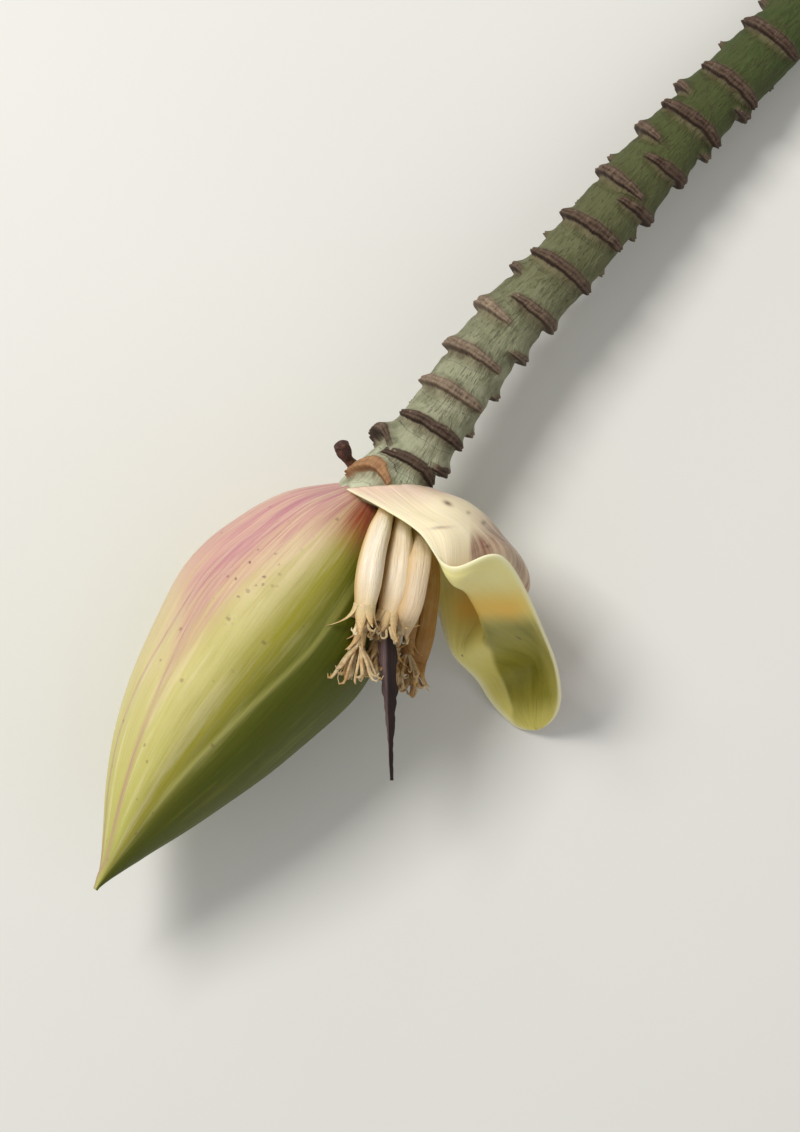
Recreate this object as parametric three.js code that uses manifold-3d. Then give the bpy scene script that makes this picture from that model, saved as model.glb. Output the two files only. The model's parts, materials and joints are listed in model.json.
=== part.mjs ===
// Cut banana flower stalk, lying down: ridged stalk, closed male bud and one lifted bract over its flowers.
// Millimetres, +Z up. The stalk's flat cut is at the +X +Y end and the bud's tip at the -X -Y end.
import * as THREE from "three";
import { mergeVertices } from "three/addons/utils/BufferGeometryUtils.js";
import Module from "manifold-3d";

const wasm = await Module();
wasm.setup();

// Driving dimensions
const SEAT_GAP = 0.3;
const LAYER_GAP = 0.55;
const BRACT_THICKNESS = 1.7;
const BRACT_MARGIN_THICKNESS = 0.7;
const BUD_RADIUS = 38.9;
const BUD_TIP_LAYERS = 0.45;
const BUD_TIP_LENGTH = 0.25;
const BUD_CORE_LEAST_RADIUS = 0.8;
const STALK_RADIUS = 11.4;
const STALK_CUT_RADIUS = 11.0;
const PEDESTAL_RADIUS = 17;
const PEDESTAL_LENGTH = 18;
const SCAR_HEIGHT = 2.4;
const SCAR_BULGE = 1.5;
const SCAR_TILT = 1.2;
const SCAR_WIDTHS = [1.7, 2.6];
const PLAIN_SCAR_SHAPE = [0, 88, 1];
const LIFTED_THICKNESS = 2.0;
const CUSHION_HALF_SIZE = [9, 4, 6];
const FLOWER_STATIONS = 24;
const FLOWER_EASE = 2;
const PRONGS_AT_MOUTH = 3;
const PRONG_LENGTH = 7;
const STRIP_THICKNESS = 1.2;
const STRIP_HALF_WIDTHS = [2.9, 0.8];

// Facets along and round the larger pieces
const BUD_SECTIONS = 22;
const BUD_SIDES = 28;
const STALK_SECTIONS = 84;
const STALK_SIDES = 24;
const LIFTED_ROWS = 24;
const LIFTED_COLUMNS = 16;

// Heights of the bud's layers above its core: core, inner bract and outer bract
const INNER_BRACT_LIFT = LAYER_GAP;
const OUTER_BRACT_LIFT = 2 * LAYER_GAP + BRACT_THICKNESS;
const BUD_TOP_LIFT = OUTER_BRACT_LIFT + BRACT_THICKNESS;
const CORE_DEPTH = BUD_TOP_LIFT / 2;

const vec = (x, y, z) => new THREE.Vector3(x, y, z);
const clamp = THREE.MathUtils.clamp;
const lerp = THREE.MathUtils.lerp;
const smoothstep = THREE.MathUtils.smoothstep;
const degrees = THREE.MathUtils.degToRad;

// Routes of the two axes
const BUD_AXIS = new THREE.CatmullRomCurve3([
  vec(-101.2, -139.6, 46),
  vec(-75.3, -93.9, 41.5),
  vec(-44.5, -51.5, 39.4),
  vec(-23.4, -25.1, 39),
  vec(-4, -0.6, 38),
]);
const STALK_AXIS = new THREE.CatmullRomCurve3([
  vec(-2.5, -7, 38),
  vec(2.4, 3.8, 37.4),
  vec(9.8, 13.4, 36.4),
  vec(19.3, 25.9, 35),
  vec(41, 56, 31),
  vec(63, 78.8, 27.5),
  vec(84.7, 104.3, 24),
  vec(109.6, 131.3, 20),
  vec(133.7, 155, 15.8),
  vec(156.5, 178.5, 12.6),
]);
const STALK_LENGTH = STALK_AXIS.getLength();

// Scars from the neck to the cut: millimetres along the stalk and degrees from straight up of each one's middle
const SCARS = [
  [10.8, 28], [18.9, -20], [22.5, -118], [23, 52], [33.1, -8], [39.4, -166], [47.4, 15], [54.8, -153], [62.6, 35],
  [71.2, -116], [79.3, 75], [87.6, -50], [96.6, 130], [105.6, -5], [114.6, 175], [123.6, 12],
  [131, -170], [138, -75], [143, 50], [149.6, 160], [156.3, -60], [163.6, 95], [169.6, -140],
  [175.6, -4], [183.6, 120], [189.6, -120], [195.1, -3], [205.6, 170], [217.1, 17], [226.5, 150], [235.6, -172],
];

// Scars by the neck that differ: how much further each arches in millimetres, its half span in degrees and
// how much higher it is than the others
const NECK_SCAR_SHAPES = new Map([
  [10.8, [28.5, 42, 1.7]],
  [18.9, [3.4, 72, 1]],
  [22.5, [0, 88, 1.5]],
  [23, [23.5, 48, 2]],
]);

// Bud radius as a share of its driving radius, at shares of its length from the tip
const BUD_PROFILE = new THREE.SplineCurve([
  new THREE.Vector2(0, 0.04),
  new THREE.Vector2(0.05, 0.12),
  new THREE.Vector2(0.1, 0.205),
  new THREE.Vector2(0.2, 0.43),
  new THREE.Vector2(0.3, 0.618),
  new THREE.Vector2(0.4, 0.766),
  new THREE.Vector2(0.5, 0.868),
  new THREE.Vector2(0.6, 0.955),
  new THREE.Vector2(0.66, 0.975),
  new THREE.Vector2(0.72, 0.945),
  new THREE.Vector2(0.78, 0.875),
  new THREE.Vector2(0.84, 0.785),
  new THREE.Vector2(0.9, 0.643),
  new THREE.Vector2(0.96, 0.4),
  new THREE.Vector2(1, 0.2),
]);
const BUD_PROFILE_SAMPLES = BUD_PROFILE.getPoints(120);

// Control net of the lifted bract's outer face: rows from base to tip, each from far margin to near margin
const LIFTED_NET = [
  [vec(11, -4, 31), vec(15, -2.5, 38), vec(17.5, 0.5, 45), vec(10.5, 2, 54), vec(1, 1.8, 57), vec(-13.6, 0.7, 53)],
  [vec(15.8, -17.5, 31), vec(25.5, -9, 41), vec(30.5, -5, 57), vec(22.8, -4, 71), vec(11.5, -7, 77), vec(-1.5, -5.6, 74)],
  [vec(16.8, -29.4, 26), vec(34.8, -22.5, 33), vec(40.4, -15.2, 51), vec(34.2, -13.4, 72), vec(23.5, -15.5, 85), vec(11.2, -14, 86)],
  [vec(18.2, -40.6, 27), vec(37, -41, 29), vec(50.8, -34.5, 44), vec(42, -23.5, 69), vec(25, -31.5, 84), vec(22.8, -26.2, 90)],
  [vec(23.4, -56.5, 25), vec(29, -56.2, 27), vec(36, -53, 34), vec(34.6, -45, 55), vec(32.4, -35.8, 75), vec(41.3, -23.4, 89)],
  [vec(33.3, -68.6, 6), vec(42, -65, 3), vec(52, -61, 10), vec(55, -58.5, 22), vec(57.5, -56, 36), vec(58.5, -55.5, 50)],
  [vec(42, -88, 0.5), vec(47, -87, 0), vec(52, -85, 2), vec(56.5, -83.6, 6), vec(60.5, -82, 11), vec(64.2, -79.8, 17)],
];
const LIFTED_TIP_FROM = 0.84;
const LIFTED_TIP_CENTRE = 0.5;
const LIFTED_TIP_ROUNDING = [2.6, 5];
const LIFTED_TIP_LEAST = 0.06;

// Flowers in the order that they are laid: plan route from root to mouth, widest radius and least height
const FLOWERS = [
  { plan: [[13.6, -13.5], [15.6, -31], [14, -48], [9.8, -65]], radius: 3.6, level: 42 },
  { plan: [[2.2, -8], [-4.4, -33], [-9.2, -54]], radius: 2.2, level: 55 },
  { plan: [[5, -9.3], [0.6, -34.5], [-3.6, -57.5]], radius: 2.2, level: 53 },
  { plan: [[7.8, -10.7], [5.6, -35.5], [2.2, -59.5]], radius: 2.2, level: 50 },
  { plan: [[10.6, -12.1], [10.6, -35.5], [7.6, -57.5]], radius: 2.2, level: 46 },
  { plan: [[0.8, -6.4], [-3.9, -21.4], [-7.5, -44]], radius: 4.1, level: 57 },
  { plan: [[6.4, -8], [5.2, -23], [3.4, -35], [0.2, -46.2]], radius: 3.7, level: 55 },
  { plan: [[11, -10.8], [12.2, -21.5], [11, -32], [9.2, -40], [5.6, -48.6]], radius: 3.1, level: 52 },
];

const COLOURS = {
  stalk: 0x7d8760,
  bud: 0xb5ab52,
  bract: 0xe6d7a0,
  cushion: 0xcfc9a0,
  flower: 0xefe2c4,
  withered: 0x3a2a26,
  stub: 0x5f3a2e,
};

// Seeded number between -1 and 1
function jitter(seed) {
  const wave = Math.sin(seed * 127.1 + 11.7) * 43758.5453;
  return 2 * (wave - Math.floor(wave)) - 1;
}

// Direction across an axis at an angle from straight up, turning to the left of the way it runs
function across(axis, share, angle) {
  const along = axis.getTangentAt(clamp(share, 0, 1));
  const left = vec(0, 0, 1).cross(along).normalize();
  const up = along.clone().cross(left);
  return up.multiplyScalar(Math.cos(angle)).addScaledVector(left, Math.sin(angle));
}

// Closed geometry from points and triangles, turned right side out
function closedGeometry(points, triangles) {
  let volume = 0;
  for (const [a, b, c] of triangles) {
    volume += points[a].dot(points[b].clone().cross(points[c]));
  }
  const index = triangles.flatMap(([a, b, c]) => (volume < 0 ? [a, c, b] : [a, b, c]));
  const geometry = new THREE.BufferGeometry();
  geometry.setAttribute("position", new THREE.Float32BufferAttribute(points.flatMap((p) => [p.x, p.y, p.z]), 3));
  geometry.setIndex(index);
  geometry.computeVertexNormals();
  return geometry;
}

// Solid through closed rings of equal count, with a flat fan on each end
function ringSolid(rings) {
  const sides = rings[0].length;
  const points = rings.flat();
  const triangles = [];
  for (let i = 0; i < rings.length - 1; i += 1) {
    for (let j = 0; j < sides; j += 1) {
      const a = i * sides + j;
      const b = i * sides + ((j + 1) % sides);
      triangles.push([a, b, a + sides], [b, b + sides, a + sides]);
    }
  }
  for (const [end, turn] of [[0, 1], [rings.length - 1, -1]]) {
    const centre = rings[end].reduce((sum, p) => sum.add(p), vec(0, 0, 0)).divideScalar(sides);
    points.push(centre);
    for (let j = 0; j < sides; j += 1) {
      const pair = [end * sides + j, end * sides + ((j + 1) % sides)];
      triangles.push(turn > 0 ? [points.length - 1, pair[1], pair[0]] : [points.length - 1, pair[0], pair[1]]);
    }
  }
  return closedGeometry(points, triangles);
}

// Thin solid between two grids of points of equal size
function bladeSolid(outer, inner) {
  const rows = outer.length;
  const columns = outer[0].length;
  const points = [...outer.flat(), ...inner.flat()];
  const offset = rows * columns;
  const at = (i, j) => i * columns + j;
  const triangles = [];
  const quad = (a, b, c, d) => triangles.push([a, b, c], [a, c, d]);
  for (let i = 0; i < rows - 1; i += 1) {
    for (let j = 0; j < columns - 1; j += 1) {
      quad(at(i, j), at(i + 1, j), at(i + 1, j + 1), at(i, j + 1));
      quad(offset + at(i, j), offset + at(i, j + 1), offset + at(i + 1, j + 1), offset + at(i + 1, j));
    }
    quad(at(i, 0), offset + at(i, 0), offset + at(i + 1, 0), at(i + 1, 0));
    const j = columns - 1;
    quad(at(i, j), at(i + 1, j), offset + at(i + 1, j), offset + at(i, j));
  }
  for (let j = 0; j < columns - 1; j += 1) {
    quad(at(0, j), at(0, j + 1), offset + at(0, j + 1), offset + at(0, j));
    const i = rows - 1;
    quad(at(i, j), offset + at(i, j), offset + at(i, j + 1), at(i, j + 1));
  }
  return closedGeometry(points, triangles);
}

function toManifold(geometry) {
  const plain = geometry.clone();
  plain.deleteAttribute("normal");
  plain.deleteAttribute("uv");
  const merged = mergeVertices(plain, 1e-4);
  const vertProperties = Float32Array.from(merged.attributes.position.array);
  const triVerts = Uint32Array.from(merged.index.array);
  return new wasm.Manifold(new wasm.Mesh({ numProp: 3, vertProperties, triVerts }));
}

// The largest piece left of a solid where others, given with their clearance, are cut away
function trimmed(geometry, ...cutters) {
  const rest = cutters.reduce((solid, cutter) => solid.subtract(toManifold(cutter)), toManifold(geometry));
  const pieces = rest.decompose();
  pieces.sort((a, b) => b.volume() - a.volume());
  return fromManifold(pieces[0]);
}

function fromManifold(solid) {
  const mesh = solid.getMesh();
  const geometry = new THREE.BufferGeometry();
  geometry.setAttribute("position", new THREE.Float32BufferAttribute(mesh.vertProperties, 3));
  geometry.setIndex(Array.from(mesh.triVerts));
  geometry.computeVertexNormals();
  return geometry;
}

// Round tube along a route whose radius follows its share of the length
function taperedTube(route, radiusAt, sections, sides) {
  const frames = route.computeFrenetFrames(sections, false);
  const rings = [];
  for (let i = 0; i <= sections; i += 1) {
    const centre = route.getPointAt(i / sections);
    const radius = radiusAt(i / sections);
    const ring = [];
    for (let j = 0; j < sides; j += 1) {
      const angle = (j / sides) * 2 * Math.PI;
      ring.push(
        centre
          .clone()
          .addScaledVector(frames.normals[i], radius * Math.cos(angle))
          .addScaledVector(frames.binormals[i], radius * Math.sin(angle)),
      );
    }
    rings.push(ring);
  }
  return ringSolid(rings);
}

// Bud radius before its layers, at a share of its length from the tip
function budRadius(share) {
  const samples = BUD_PROFILE_SAMPLES;
  let i = 1;
  while (i < samples.length - 1 && samples[i].x < share) {
    i += 1;
  }
  const part = (share - samples[i - 1].x) / (samples[i].x - samples[i - 1].x);
  return BUD_RADIUS * lerp(samples[i - 1].y, samples[i].y, part);
}

// Share of their full thickness that the bud's layers keep, thinner towards its tip
function layerShare(share) {
  return lerp(BUD_TIP_LAYERS, 1, smoothstep(share, 0, BUD_TIP_LENGTH));
}

// Point of the bud at a lift above its core, kept above the flat that it rests on
function budPoint(share, angle, lift) {
  const core = Math.max(budRadius(share) - CORE_DEPTH * layerShare(share), BUD_CORE_LEAST_RADIUS);
  const radius = core + lift * layerShare(share);
  const point = BUD_AXIS.getPointAt(share).addScaledVector(across(BUD_AXIS, share, angle), radius);
  point.z = Math.max(point.z, BUD_TOP_LIFT - lift);
  return point;
}

// Whole bud at a lift above its core
function budSolid(lift) {
  const rings = [];
  for (let i = 0; i <= BUD_SECTIONS; i += 1) {
    const ring = [];
    for (let j = 0; j < BUD_SIDES; j += 1) {
      ring.push(budPoint(i / BUD_SECTIONS, (j / BUD_SIDES) * 2 * Math.PI, lift));
    }
    rings.push(ring);
  }
  return ringSolid(rings);
}

// Closed bract pressed on the bud, from a left margin to a right margin that narrows towards the tip
function budBract({ tip, base, left, right, tipRight, lift, columns }) {
  const outer = [];
  const inner = [];
  for (let i = 0; i <= BUD_SECTIONS; i += 1) {
    const share = lerp(tip, base, i / BUD_SECTIONS);
    const spread = smoothstep(share, tip, tip + 0.3);
    const outerRow = [];
    const innerRow = [];
    for (let j = 0; j <= columns; j += 1) {
      const angle = lerp(degrees(left), degrees(lerp(tipRight, right, spread)), j / columns);
      const margin = Math.min(j, columns - j, i, BUD_SECTIONS - i);
      const thickness = margin === 0 ? BRACT_MARGIN_THICKNESS : BRACT_THICKNESS;
      outerRow.push(budPoint(share, angle, lift + thickness));
      innerRow.push(budPoint(share, angle, lift));
    }
    outer.push(outerRow);
    inner.push(innerRow);
  }
  return bladeSolid(outer, inner);
}

// Height of the crescent scars above the stalk at a distance from the neck and an angle round it
function scarHeight(distance, angle) {
  let height = 0;
  for (const [k, [start, turned]] of SCARS.entries()) {
    const [arch, halfSpan, proud] = NECK_SCAR_SHAPES.get(start) ?? PLAIN_SCAR_SHAPE;
    const turn = degrees(turned);
    const away = Math.abs(Math.atan2(Math.sin(angle - turn), Math.cos(angle - turn)));
    const arched = start + SCAR_BULGE * Math.cos(away) - arch * (1 - Math.cos(away));
    const crest = arched - SCAR_TILT * Math.sin(angle);
    const along = distance - crest;
    const width = SCAR_WIDTHS[along > 0 ? 1 : 0];
    const fade = 1 - smoothstep(away, 0.75 * degrees(halfSpan), degrees(halfSpan));
    const swell = Math.exp(-((along / width) ** 2)) * fade;
    height = Math.max(height, swell * SCAR_HEIGHT * proud * (1 + 0.15 * jitter(k + 80)));
  }
  return height * smoothstep(distance, 0, 5) * smoothstep(STALK_LENGTH - distance, 0.5, 4);
}

function stalkRadius(distance) {
  const shaft = lerp(STALK_RADIUS, STALK_CUT_RADIUS, distance / STALK_LENGTH);
  return lerp(PEDESTAL_RADIUS, shaft, smoothstep(distance, 0, PEDESTAL_LENGTH));
}

// Whole stalk, grown outwards by a clearance, with its inner end run into the bud
function stalkSolid(grow) {
  const rings = [];
  for (let i = 0; i <= STALK_SECTIONS; i += 1) {
    const share = i / STALK_SECTIONS;
    const distance = share * STALK_LENGTH;
    const centre = STALK_AXIS.getPointAt(share);
    const ring = [];
    for (let j = 0; j < STALK_SIDES; j += 1) {
      const angle = (j / STALK_SIDES) * 2 * Math.PI;
      const radius = stalkRadius(distance) + scarHeight(distance, angle) + grow;
      ring.push(centre.clone().addScaledVector(across(STALK_AXIS, share, angle), radius));
    }
    rings.push(ring);
  }
  return ringSolid(rings);
}

// Point of the lifted bract's outer face, with its outline drawn in to a tip that is rounder on the left
function liftedPoint(lengthwise, sideways) {
  const narrowing = Math.max(0, (lengthwise - LIFTED_TIP_FROM) / (1 - LIFTED_TIP_FROM));
  const rounding = LIFTED_TIP_ROUNDING[sideways < LIFTED_TIP_CENTRE ? 0 : 1];
  const width = Math.max(LIFTED_TIP_LEAST, Math.sqrt(Math.max(0, 1 - narrowing ** rounding)));
  const row = LIFTED_NET[0].map((_, column) => {
    const line = new THREE.CatmullRomCurve3(LIFTED_NET.map((points) => points[column]), false, "catmullrom");
    return line.getPoint(lengthwise);
  });
  const section = new THREE.CatmullRomCurve3(row, false, "catmullrom");
  return section.getPoint(LIFTED_TIP_CENTRE + (sideways - LIFTED_TIP_CENTRE) * width);
}

// Direction out of the lifted bract's outer face, from short steps along and across it
function liftedOutward(lengthwise, sideways) {
  const step = 0.002;
  const point = liftedPoint(lengthwise, sideways);
  const along = lengthwise > 0.5 ? -step : step;
  const over = sideways > 0.5 ? -step : step;
  const lengthwiseWay = liftedPoint(lengthwise + along, sideways).sub(point).multiplyScalar(Math.sign(along));
  const sidewaysWay = liftedPoint(lengthwise, sideways + over).sub(point).multiplyScalar(Math.sign(over));
  return sidewaysWay.cross(lengthwiseWay).normalize();
}

// Whole lifted bract, grown on both faces by a clearance
function liftedSolid(grow) {
  const outer = [];
  const inner = [];
  for (let i = 0; i <= LIFTED_ROWS; i += 1) {
    const lengthwise = 1 - (1 - i / LIFTED_ROWS) ** 1.25;
    const outerRow = [];
    const innerRow = [];
    for (let j = 0; j <= LIFTED_COLUMNS; j += 1) {
      const sideways = j / LIFTED_COLUMNS;
      const point = liftedPoint(lengthwise, sideways);
      const outward = liftedOutward(lengthwise, sideways);
      const onMargin = j === 0 || j === LIFTED_COLUMNS || i === LIFTED_ROWS;
      const thickness = LIFTED_THICKNESS * (onMargin ? 0.6 : 1);
      outerRow.push(point.clone().addScaledVector(outward, grow));
      innerRow.push(point.clone().addScaledVector(outward, -thickness - grow));
    }
    outer.push(outerRow);
    inner.push(innerRow);
  }
  return bladeSolid(outer, inner);
}

// Pad that the flowers' roots end on, grown by a clearance
function cushionSolid(grow) {
  const pad = new THREE.SphereGeometry(1, 16, 10);
  pad.scale(...CUSHION_HALF_SIZE.map((half) => half + grow));
  pad.rotateZ(degrees(-42));
  pad.translate(8.6, -5, 50.5);
  return pad;
}

// Height of the bud's outer face over a place in plan, or nothing beside it
function budTop(place) {
  let best = { gap: Infinity, share: 0 };
  for (let i = 0; i <= 80; i += 1) {
    const share = i / 80;
    const centre = BUD_AXIS.getPointAt(share);
    const gap = Math.hypot(centre.x - place.x, centre.y - place.y);
    if (gap < best.gap) {
      best = { gap, share };
    }
  }
  return { centre: BUD_AXIS.getPointAt(best.share).z, gap: best.gap, radius: budRadius(best.share) + CORE_DEPTH };
}

// Lowest height at which a tube of this radius clears the bud and the tubes laid before it
function restingHeight(place, radius, laid, level) {
  const bud = budTop(place);
  const reach = bud.radius + radius + 2 * SEAT_GAP;
  let height = level;
  if (bud.gap < reach) {
    height = Math.max(height, bud.centre + Math.sqrt(reach ** 2 - bud.gap ** 2));
  }
  for (const tube of laid) {
    for (const station of tube) {
      const need = radius + station.radius + SEAT_GAP;
      const gap = Math.hypot(station.point.x - place.x, station.point.y - place.y);
      if (gap < need) {
        height = Math.max(height, station.point.z + Math.sqrt(need ** 2 - gap ** 2));
      }
    }
  }
  return height;
}

function flowerRadius(widest, share) {
  const swell = smoothstep(share, 0, 0.4);
  const waist = smoothstep(share, 0.75, 1);
  return widest * (lerp(0.42, 1, swell) - 0.22 * waist);
}

// Stations of one tube laid on what is under it, with its bends eased and no height lost
function laidTube({ plan, radius, level }, laid) {
  const route = new THREE.CatmullRomCurve3(plan.map(([x, y]) => vec(x, y, 0)));
  const stations = [];
  for (let i = 0; i <= FLOWER_STATIONS; i += 1) {
    const share = i / FLOWER_STATIONS;
    stations.push({ point: route.getPointAt(share), radius: flowerRadius(radius, share) });
  }
  const near = (values, i) => values.slice(Math.max(0, i - FLOWER_EASE), i + FLOWER_EASE + 1);
  const resting = stations.map((station) => restingHeight(station.point, station.radius, laid, level));
  const raised = resting.map((_, i) => Math.max(...near(resting, i)));
  const eased = raised.map((_, i) => near(raised, i).reduce((sum, z) => sum + z, 0) / near(raised, i).length);
  stations.forEach((station, i) => station.point.setZ(eased[i]));
  return stations;
}

// Routes of all flowers, laid one after another on the bud and on the flowers under them
function flowerRoutes() {
  const laid = [];
  for (const flower of FLOWERS) {
    laid.push(laidTube(flower, laid));
  }
  return laid.map((stations) => new THREE.CatmullRomCurve3(stations.map(({ point }) => point)));
}

// Male flower: a tube with a few frayed prongs at its mouth
function maleFlower(route, widest, seed) {
  let solid = toManifold(taperedTube(route, (share) => flowerRadius(widest, share), 9, 9));
  const mouth = route.getPointAt(1);
  const ahead = route.getTangentAt(1);
  for (let k = 0; k < PRONGS_AT_MOUTH; k += 1) {
    const root = route.getPointAt(0.94);
    const reach = PRONG_LENGTH * (1 + 0.35 * jitter(seed + k));
    const sideways = vec(jitter(seed + 10 * k), 0.3 * jitter(seed + 20 * k), 0.5 * jitter(seed + 30 * k));
    const end = mouth.clone().addScaledVector(ahead, reach).addScaledVector(sideways, 2.6);
    const prong = new THREE.CatmullRomCurve3([root, mouth.clone().addScaledVector(sideways, 1), end]);
    solid = solid.add(toManifold(taperedTube(prong, (share) => lerp(1.3, 0.6, share), 3, 5)));
  }
  return fromManifold(solid);
}

function witheredStrip() {
  const route = new THREE.CatmullRomCurve3([vec(0, -54.5, 67.4), vec(0.6, -66, 61.8), vec(1.2, -82, 54.8), vec(2.1, -101.5, 46)]);
  const rows = 10;
  const outer = [];
  const inner = [];
  for (let i = 0; i <= rows; i += 1) {
    const share = i / rows;
    const centre = route.getPointAt(share);
    const half = lerp(...STRIP_HALF_WIDTHS, smoothstep(share, 0.1, 0.9));
    const twist = degrees(lerp(15, 60, share));
    const side = vec(Math.cos(twist), 0, Math.sin(twist));
    const deep = vec(-Math.sin(twist), 0, Math.cos(twist)).multiplyScalar(STRIP_THICKNESS / 2);
    const edges = [-1, 0, 1].map((sign) => centre.clone().addScaledVector(side, sign * half));
    outer.push(edges.map((p) => p.clone().add(deep)));
    inner.push(edges.map((p) => p.clone().sub(deep)));
  }
  return bladeSolid(outer, inner);
}

// Brown knob on a short stalk, run into the pedestal
function neckStub() {
  const route = new THREE.CatmullRomCurve3([vec(-10, 7.4, 42.5), vec(-13.3, 11.4, 46.8), vec(-15.9, 16.8, 50)]);
  return taperedTube(route, (share) => lerp(1.7, 2.5, smoothstep(share, 0.4, 0.75)), 9, 9);
}

function mesh(name, geometry, colour, roughness) {
  const material = new THREE.MeshStandardMaterial({ color: colour, roughness, metalness: 0 });
  const piece = new THREE.Mesh(geometry, material);
  piece.name = name;
  return piece;
}

const plant = new THREE.Group();
const budSpace = budSolid(BUD_TOP_LIFT + LAYER_GAP);
const stalkSpace = stalkSolid(SEAT_GAP);
plant.add(mesh("flower_stalk", trimmed(stalkSolid(0), budSpace), COLOURS.stalk, 0.75));
plant.add(mesh("bud_core", budSolid(0), COLOURS.bud, 0.55));
plant.add(
  mesh(
    "bud_bract_inner",
    budBract({ tip: 0.035, base: 0.985, left: 65, right: -45, tipRight: -20, lift: INNER_BRACT_LIFT, columns: 9 }),
    COLOURS.bract,
    0.5,
  ),
);
plant.add(
  mesh(
    "bud_bract_outer",
    budBract({ tip: 0.02, base: 0.985, left: 39, right: -200, tipRight: -150, lift: OUTER_BRACT_LIFT, columns: 20 }),
    COLOURS.bract,
    0.5,
  ),
);
plant.add(mesh("lifted_bract", trimmed(liftedSolid(0), stalkSpace, budSpace), COLOURS.bract, 0.5));
plant.add(
  mesh(
    "flower_cushion",
    trimmed(cushionSolid(0), stalkSpace, budSpace, liftedSolid(SEAT_GAP)),
    COLOURS.cushion,
    0.6,
  ),
);
flowerRoutes().forEach((route, i) => {
  const name = `flower_${String(i + 1).padStart(2, "0")}`;
  const flower = trimmed(maleFlower(route, FLOWERS[i].radius, 3 * i + 1), stalkSpace, cushionSolid(SEAT_GAP));
  plant.add(mesh(name, flower, COLOURS.flower, 0.5));
});
plant.add(mesh("withered_strip", witheredStrip(), COLOURS.withered, 0.8));
plant.add(mesh("neck_stub", trimmed(neckStub(), stalkSpace, budSpace), COLOURS.stub, 0.8));

// The origin is under the middle of the part, on the floor
const bounds = new THREE.Box3().setFromObject(plant);
plant.position.set(-(bounds.min.x + bounds.max.x) / 2, -(bounds.min.y + bounds.max.y) / 2, -bounds.min.z);
plant.updateMatrixWorld(true);

export default plant;
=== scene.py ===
"""Cut banana flower stalk, lying on a pale floor.

The stalk, the closed bud, the lifted bract and its flowers are built in millimetres round the same
axes and control net as the solids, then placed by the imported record's mount at the cut end.
"""

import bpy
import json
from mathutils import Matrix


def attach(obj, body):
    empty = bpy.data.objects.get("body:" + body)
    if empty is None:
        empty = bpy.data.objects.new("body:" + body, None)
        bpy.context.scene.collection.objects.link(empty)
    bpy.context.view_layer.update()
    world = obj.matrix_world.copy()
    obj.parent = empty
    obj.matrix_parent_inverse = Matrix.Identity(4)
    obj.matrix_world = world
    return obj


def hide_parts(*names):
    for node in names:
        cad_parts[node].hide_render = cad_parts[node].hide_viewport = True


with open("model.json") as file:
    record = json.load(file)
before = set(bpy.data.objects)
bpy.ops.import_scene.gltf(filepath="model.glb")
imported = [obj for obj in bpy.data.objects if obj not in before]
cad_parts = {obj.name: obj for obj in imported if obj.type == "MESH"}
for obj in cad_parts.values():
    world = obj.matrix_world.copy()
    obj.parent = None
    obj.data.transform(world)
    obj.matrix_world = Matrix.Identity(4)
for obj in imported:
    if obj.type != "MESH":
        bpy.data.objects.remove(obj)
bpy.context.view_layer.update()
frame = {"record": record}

import json
import logging
import math
from dataclasses import dataclass, field
from enum import Enum
from typing import ClassVar

import bpy
import numpy as np

logging.basicConfig(level=logging.INFO, format="%(message)s")
log = logging.getLogger("flower_stalk")

Array = np.ndarray
Point = tuple[float, float, float]
Paint = tuple[float, float, float, float]

MM = 0.001
BODY = "root"
CUT_CENTRE = (156.5, 178.5, 12.6)
UP = np.array([0.0, 0.0, 1.0])

# Direction that no thin rod runs along
ASKEW = (0.31, 0.12, 0.94)

# Numbers that scatter the noise's lattice points
AXIS_FACTORS = np.array([73856093, 19349663, 83492791])
SEED_FACTOR = 2654435761
SPREAD_FACTOR = 1274126177
LOW_BITS = 0xFFFFFFFF
NOISE_LAYERS = 3


# Numbers and curves

def smoothstep(low: float, high: float, value: Array | float) -> Array:
    """Ease from 0 at low to 1 at high."""
    share = np.clip((np.asarray(value, float) - low) / (high - low), 0.0, 1.0)
    return share * share * (3.0 - 2.0 * share)


def mix(start: Array | float, end: Array | float, share: Array | float) -> Array:
    """Blend from start to end by a share of 0 to 1."""
    return start + (end - start) * share


def bell(value: Array, width: float) -> Array:
    """Bell curve of height 1 round zero."""
    return np.exp(-((value / width) ** 2))


def jitter(seed: float) -> float:
    """Seeded number between -1 and 1, the same as the solids use."""
    wave = math.sin(seed * 127.1 + 11.7) * 43758.5453
    return 2.0 * (wave - math.floor(wave)) - 1.0


def joined(*parts: Array | float) -> Array:
    """Parts of vectors as one array, with the parts in its last axis."""
    return np.stack(np.broadcast_arrays(*parts), axis=-1)


def unit(vectors: Array) -> Array:
    """Vectors at a length of 1."""
    return vectors / np.linalg.norm(vectors, axis=-1, keepdims=True)


def turns(count: int) -> Array:
    """Even angles once round, in radians."""
    return np.linspace(0.0, 2.0 * math.pi, count, endpoint=False)


def wrapped(angles: Array) -> Array:
    """Angles brought within half a turn of zero."""
    return np.arctan2(np.sin(angles), np.cos(angles))


def circled(first: Array, second: Array, angles: Array) -> Array:
    """Directions at angles from the first way to the second, as rows by columns by 3."""
    return first[:, None] * np.cos(angles)[..., None] + second[:, None] * np.sin(angles)[..., None]


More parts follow.
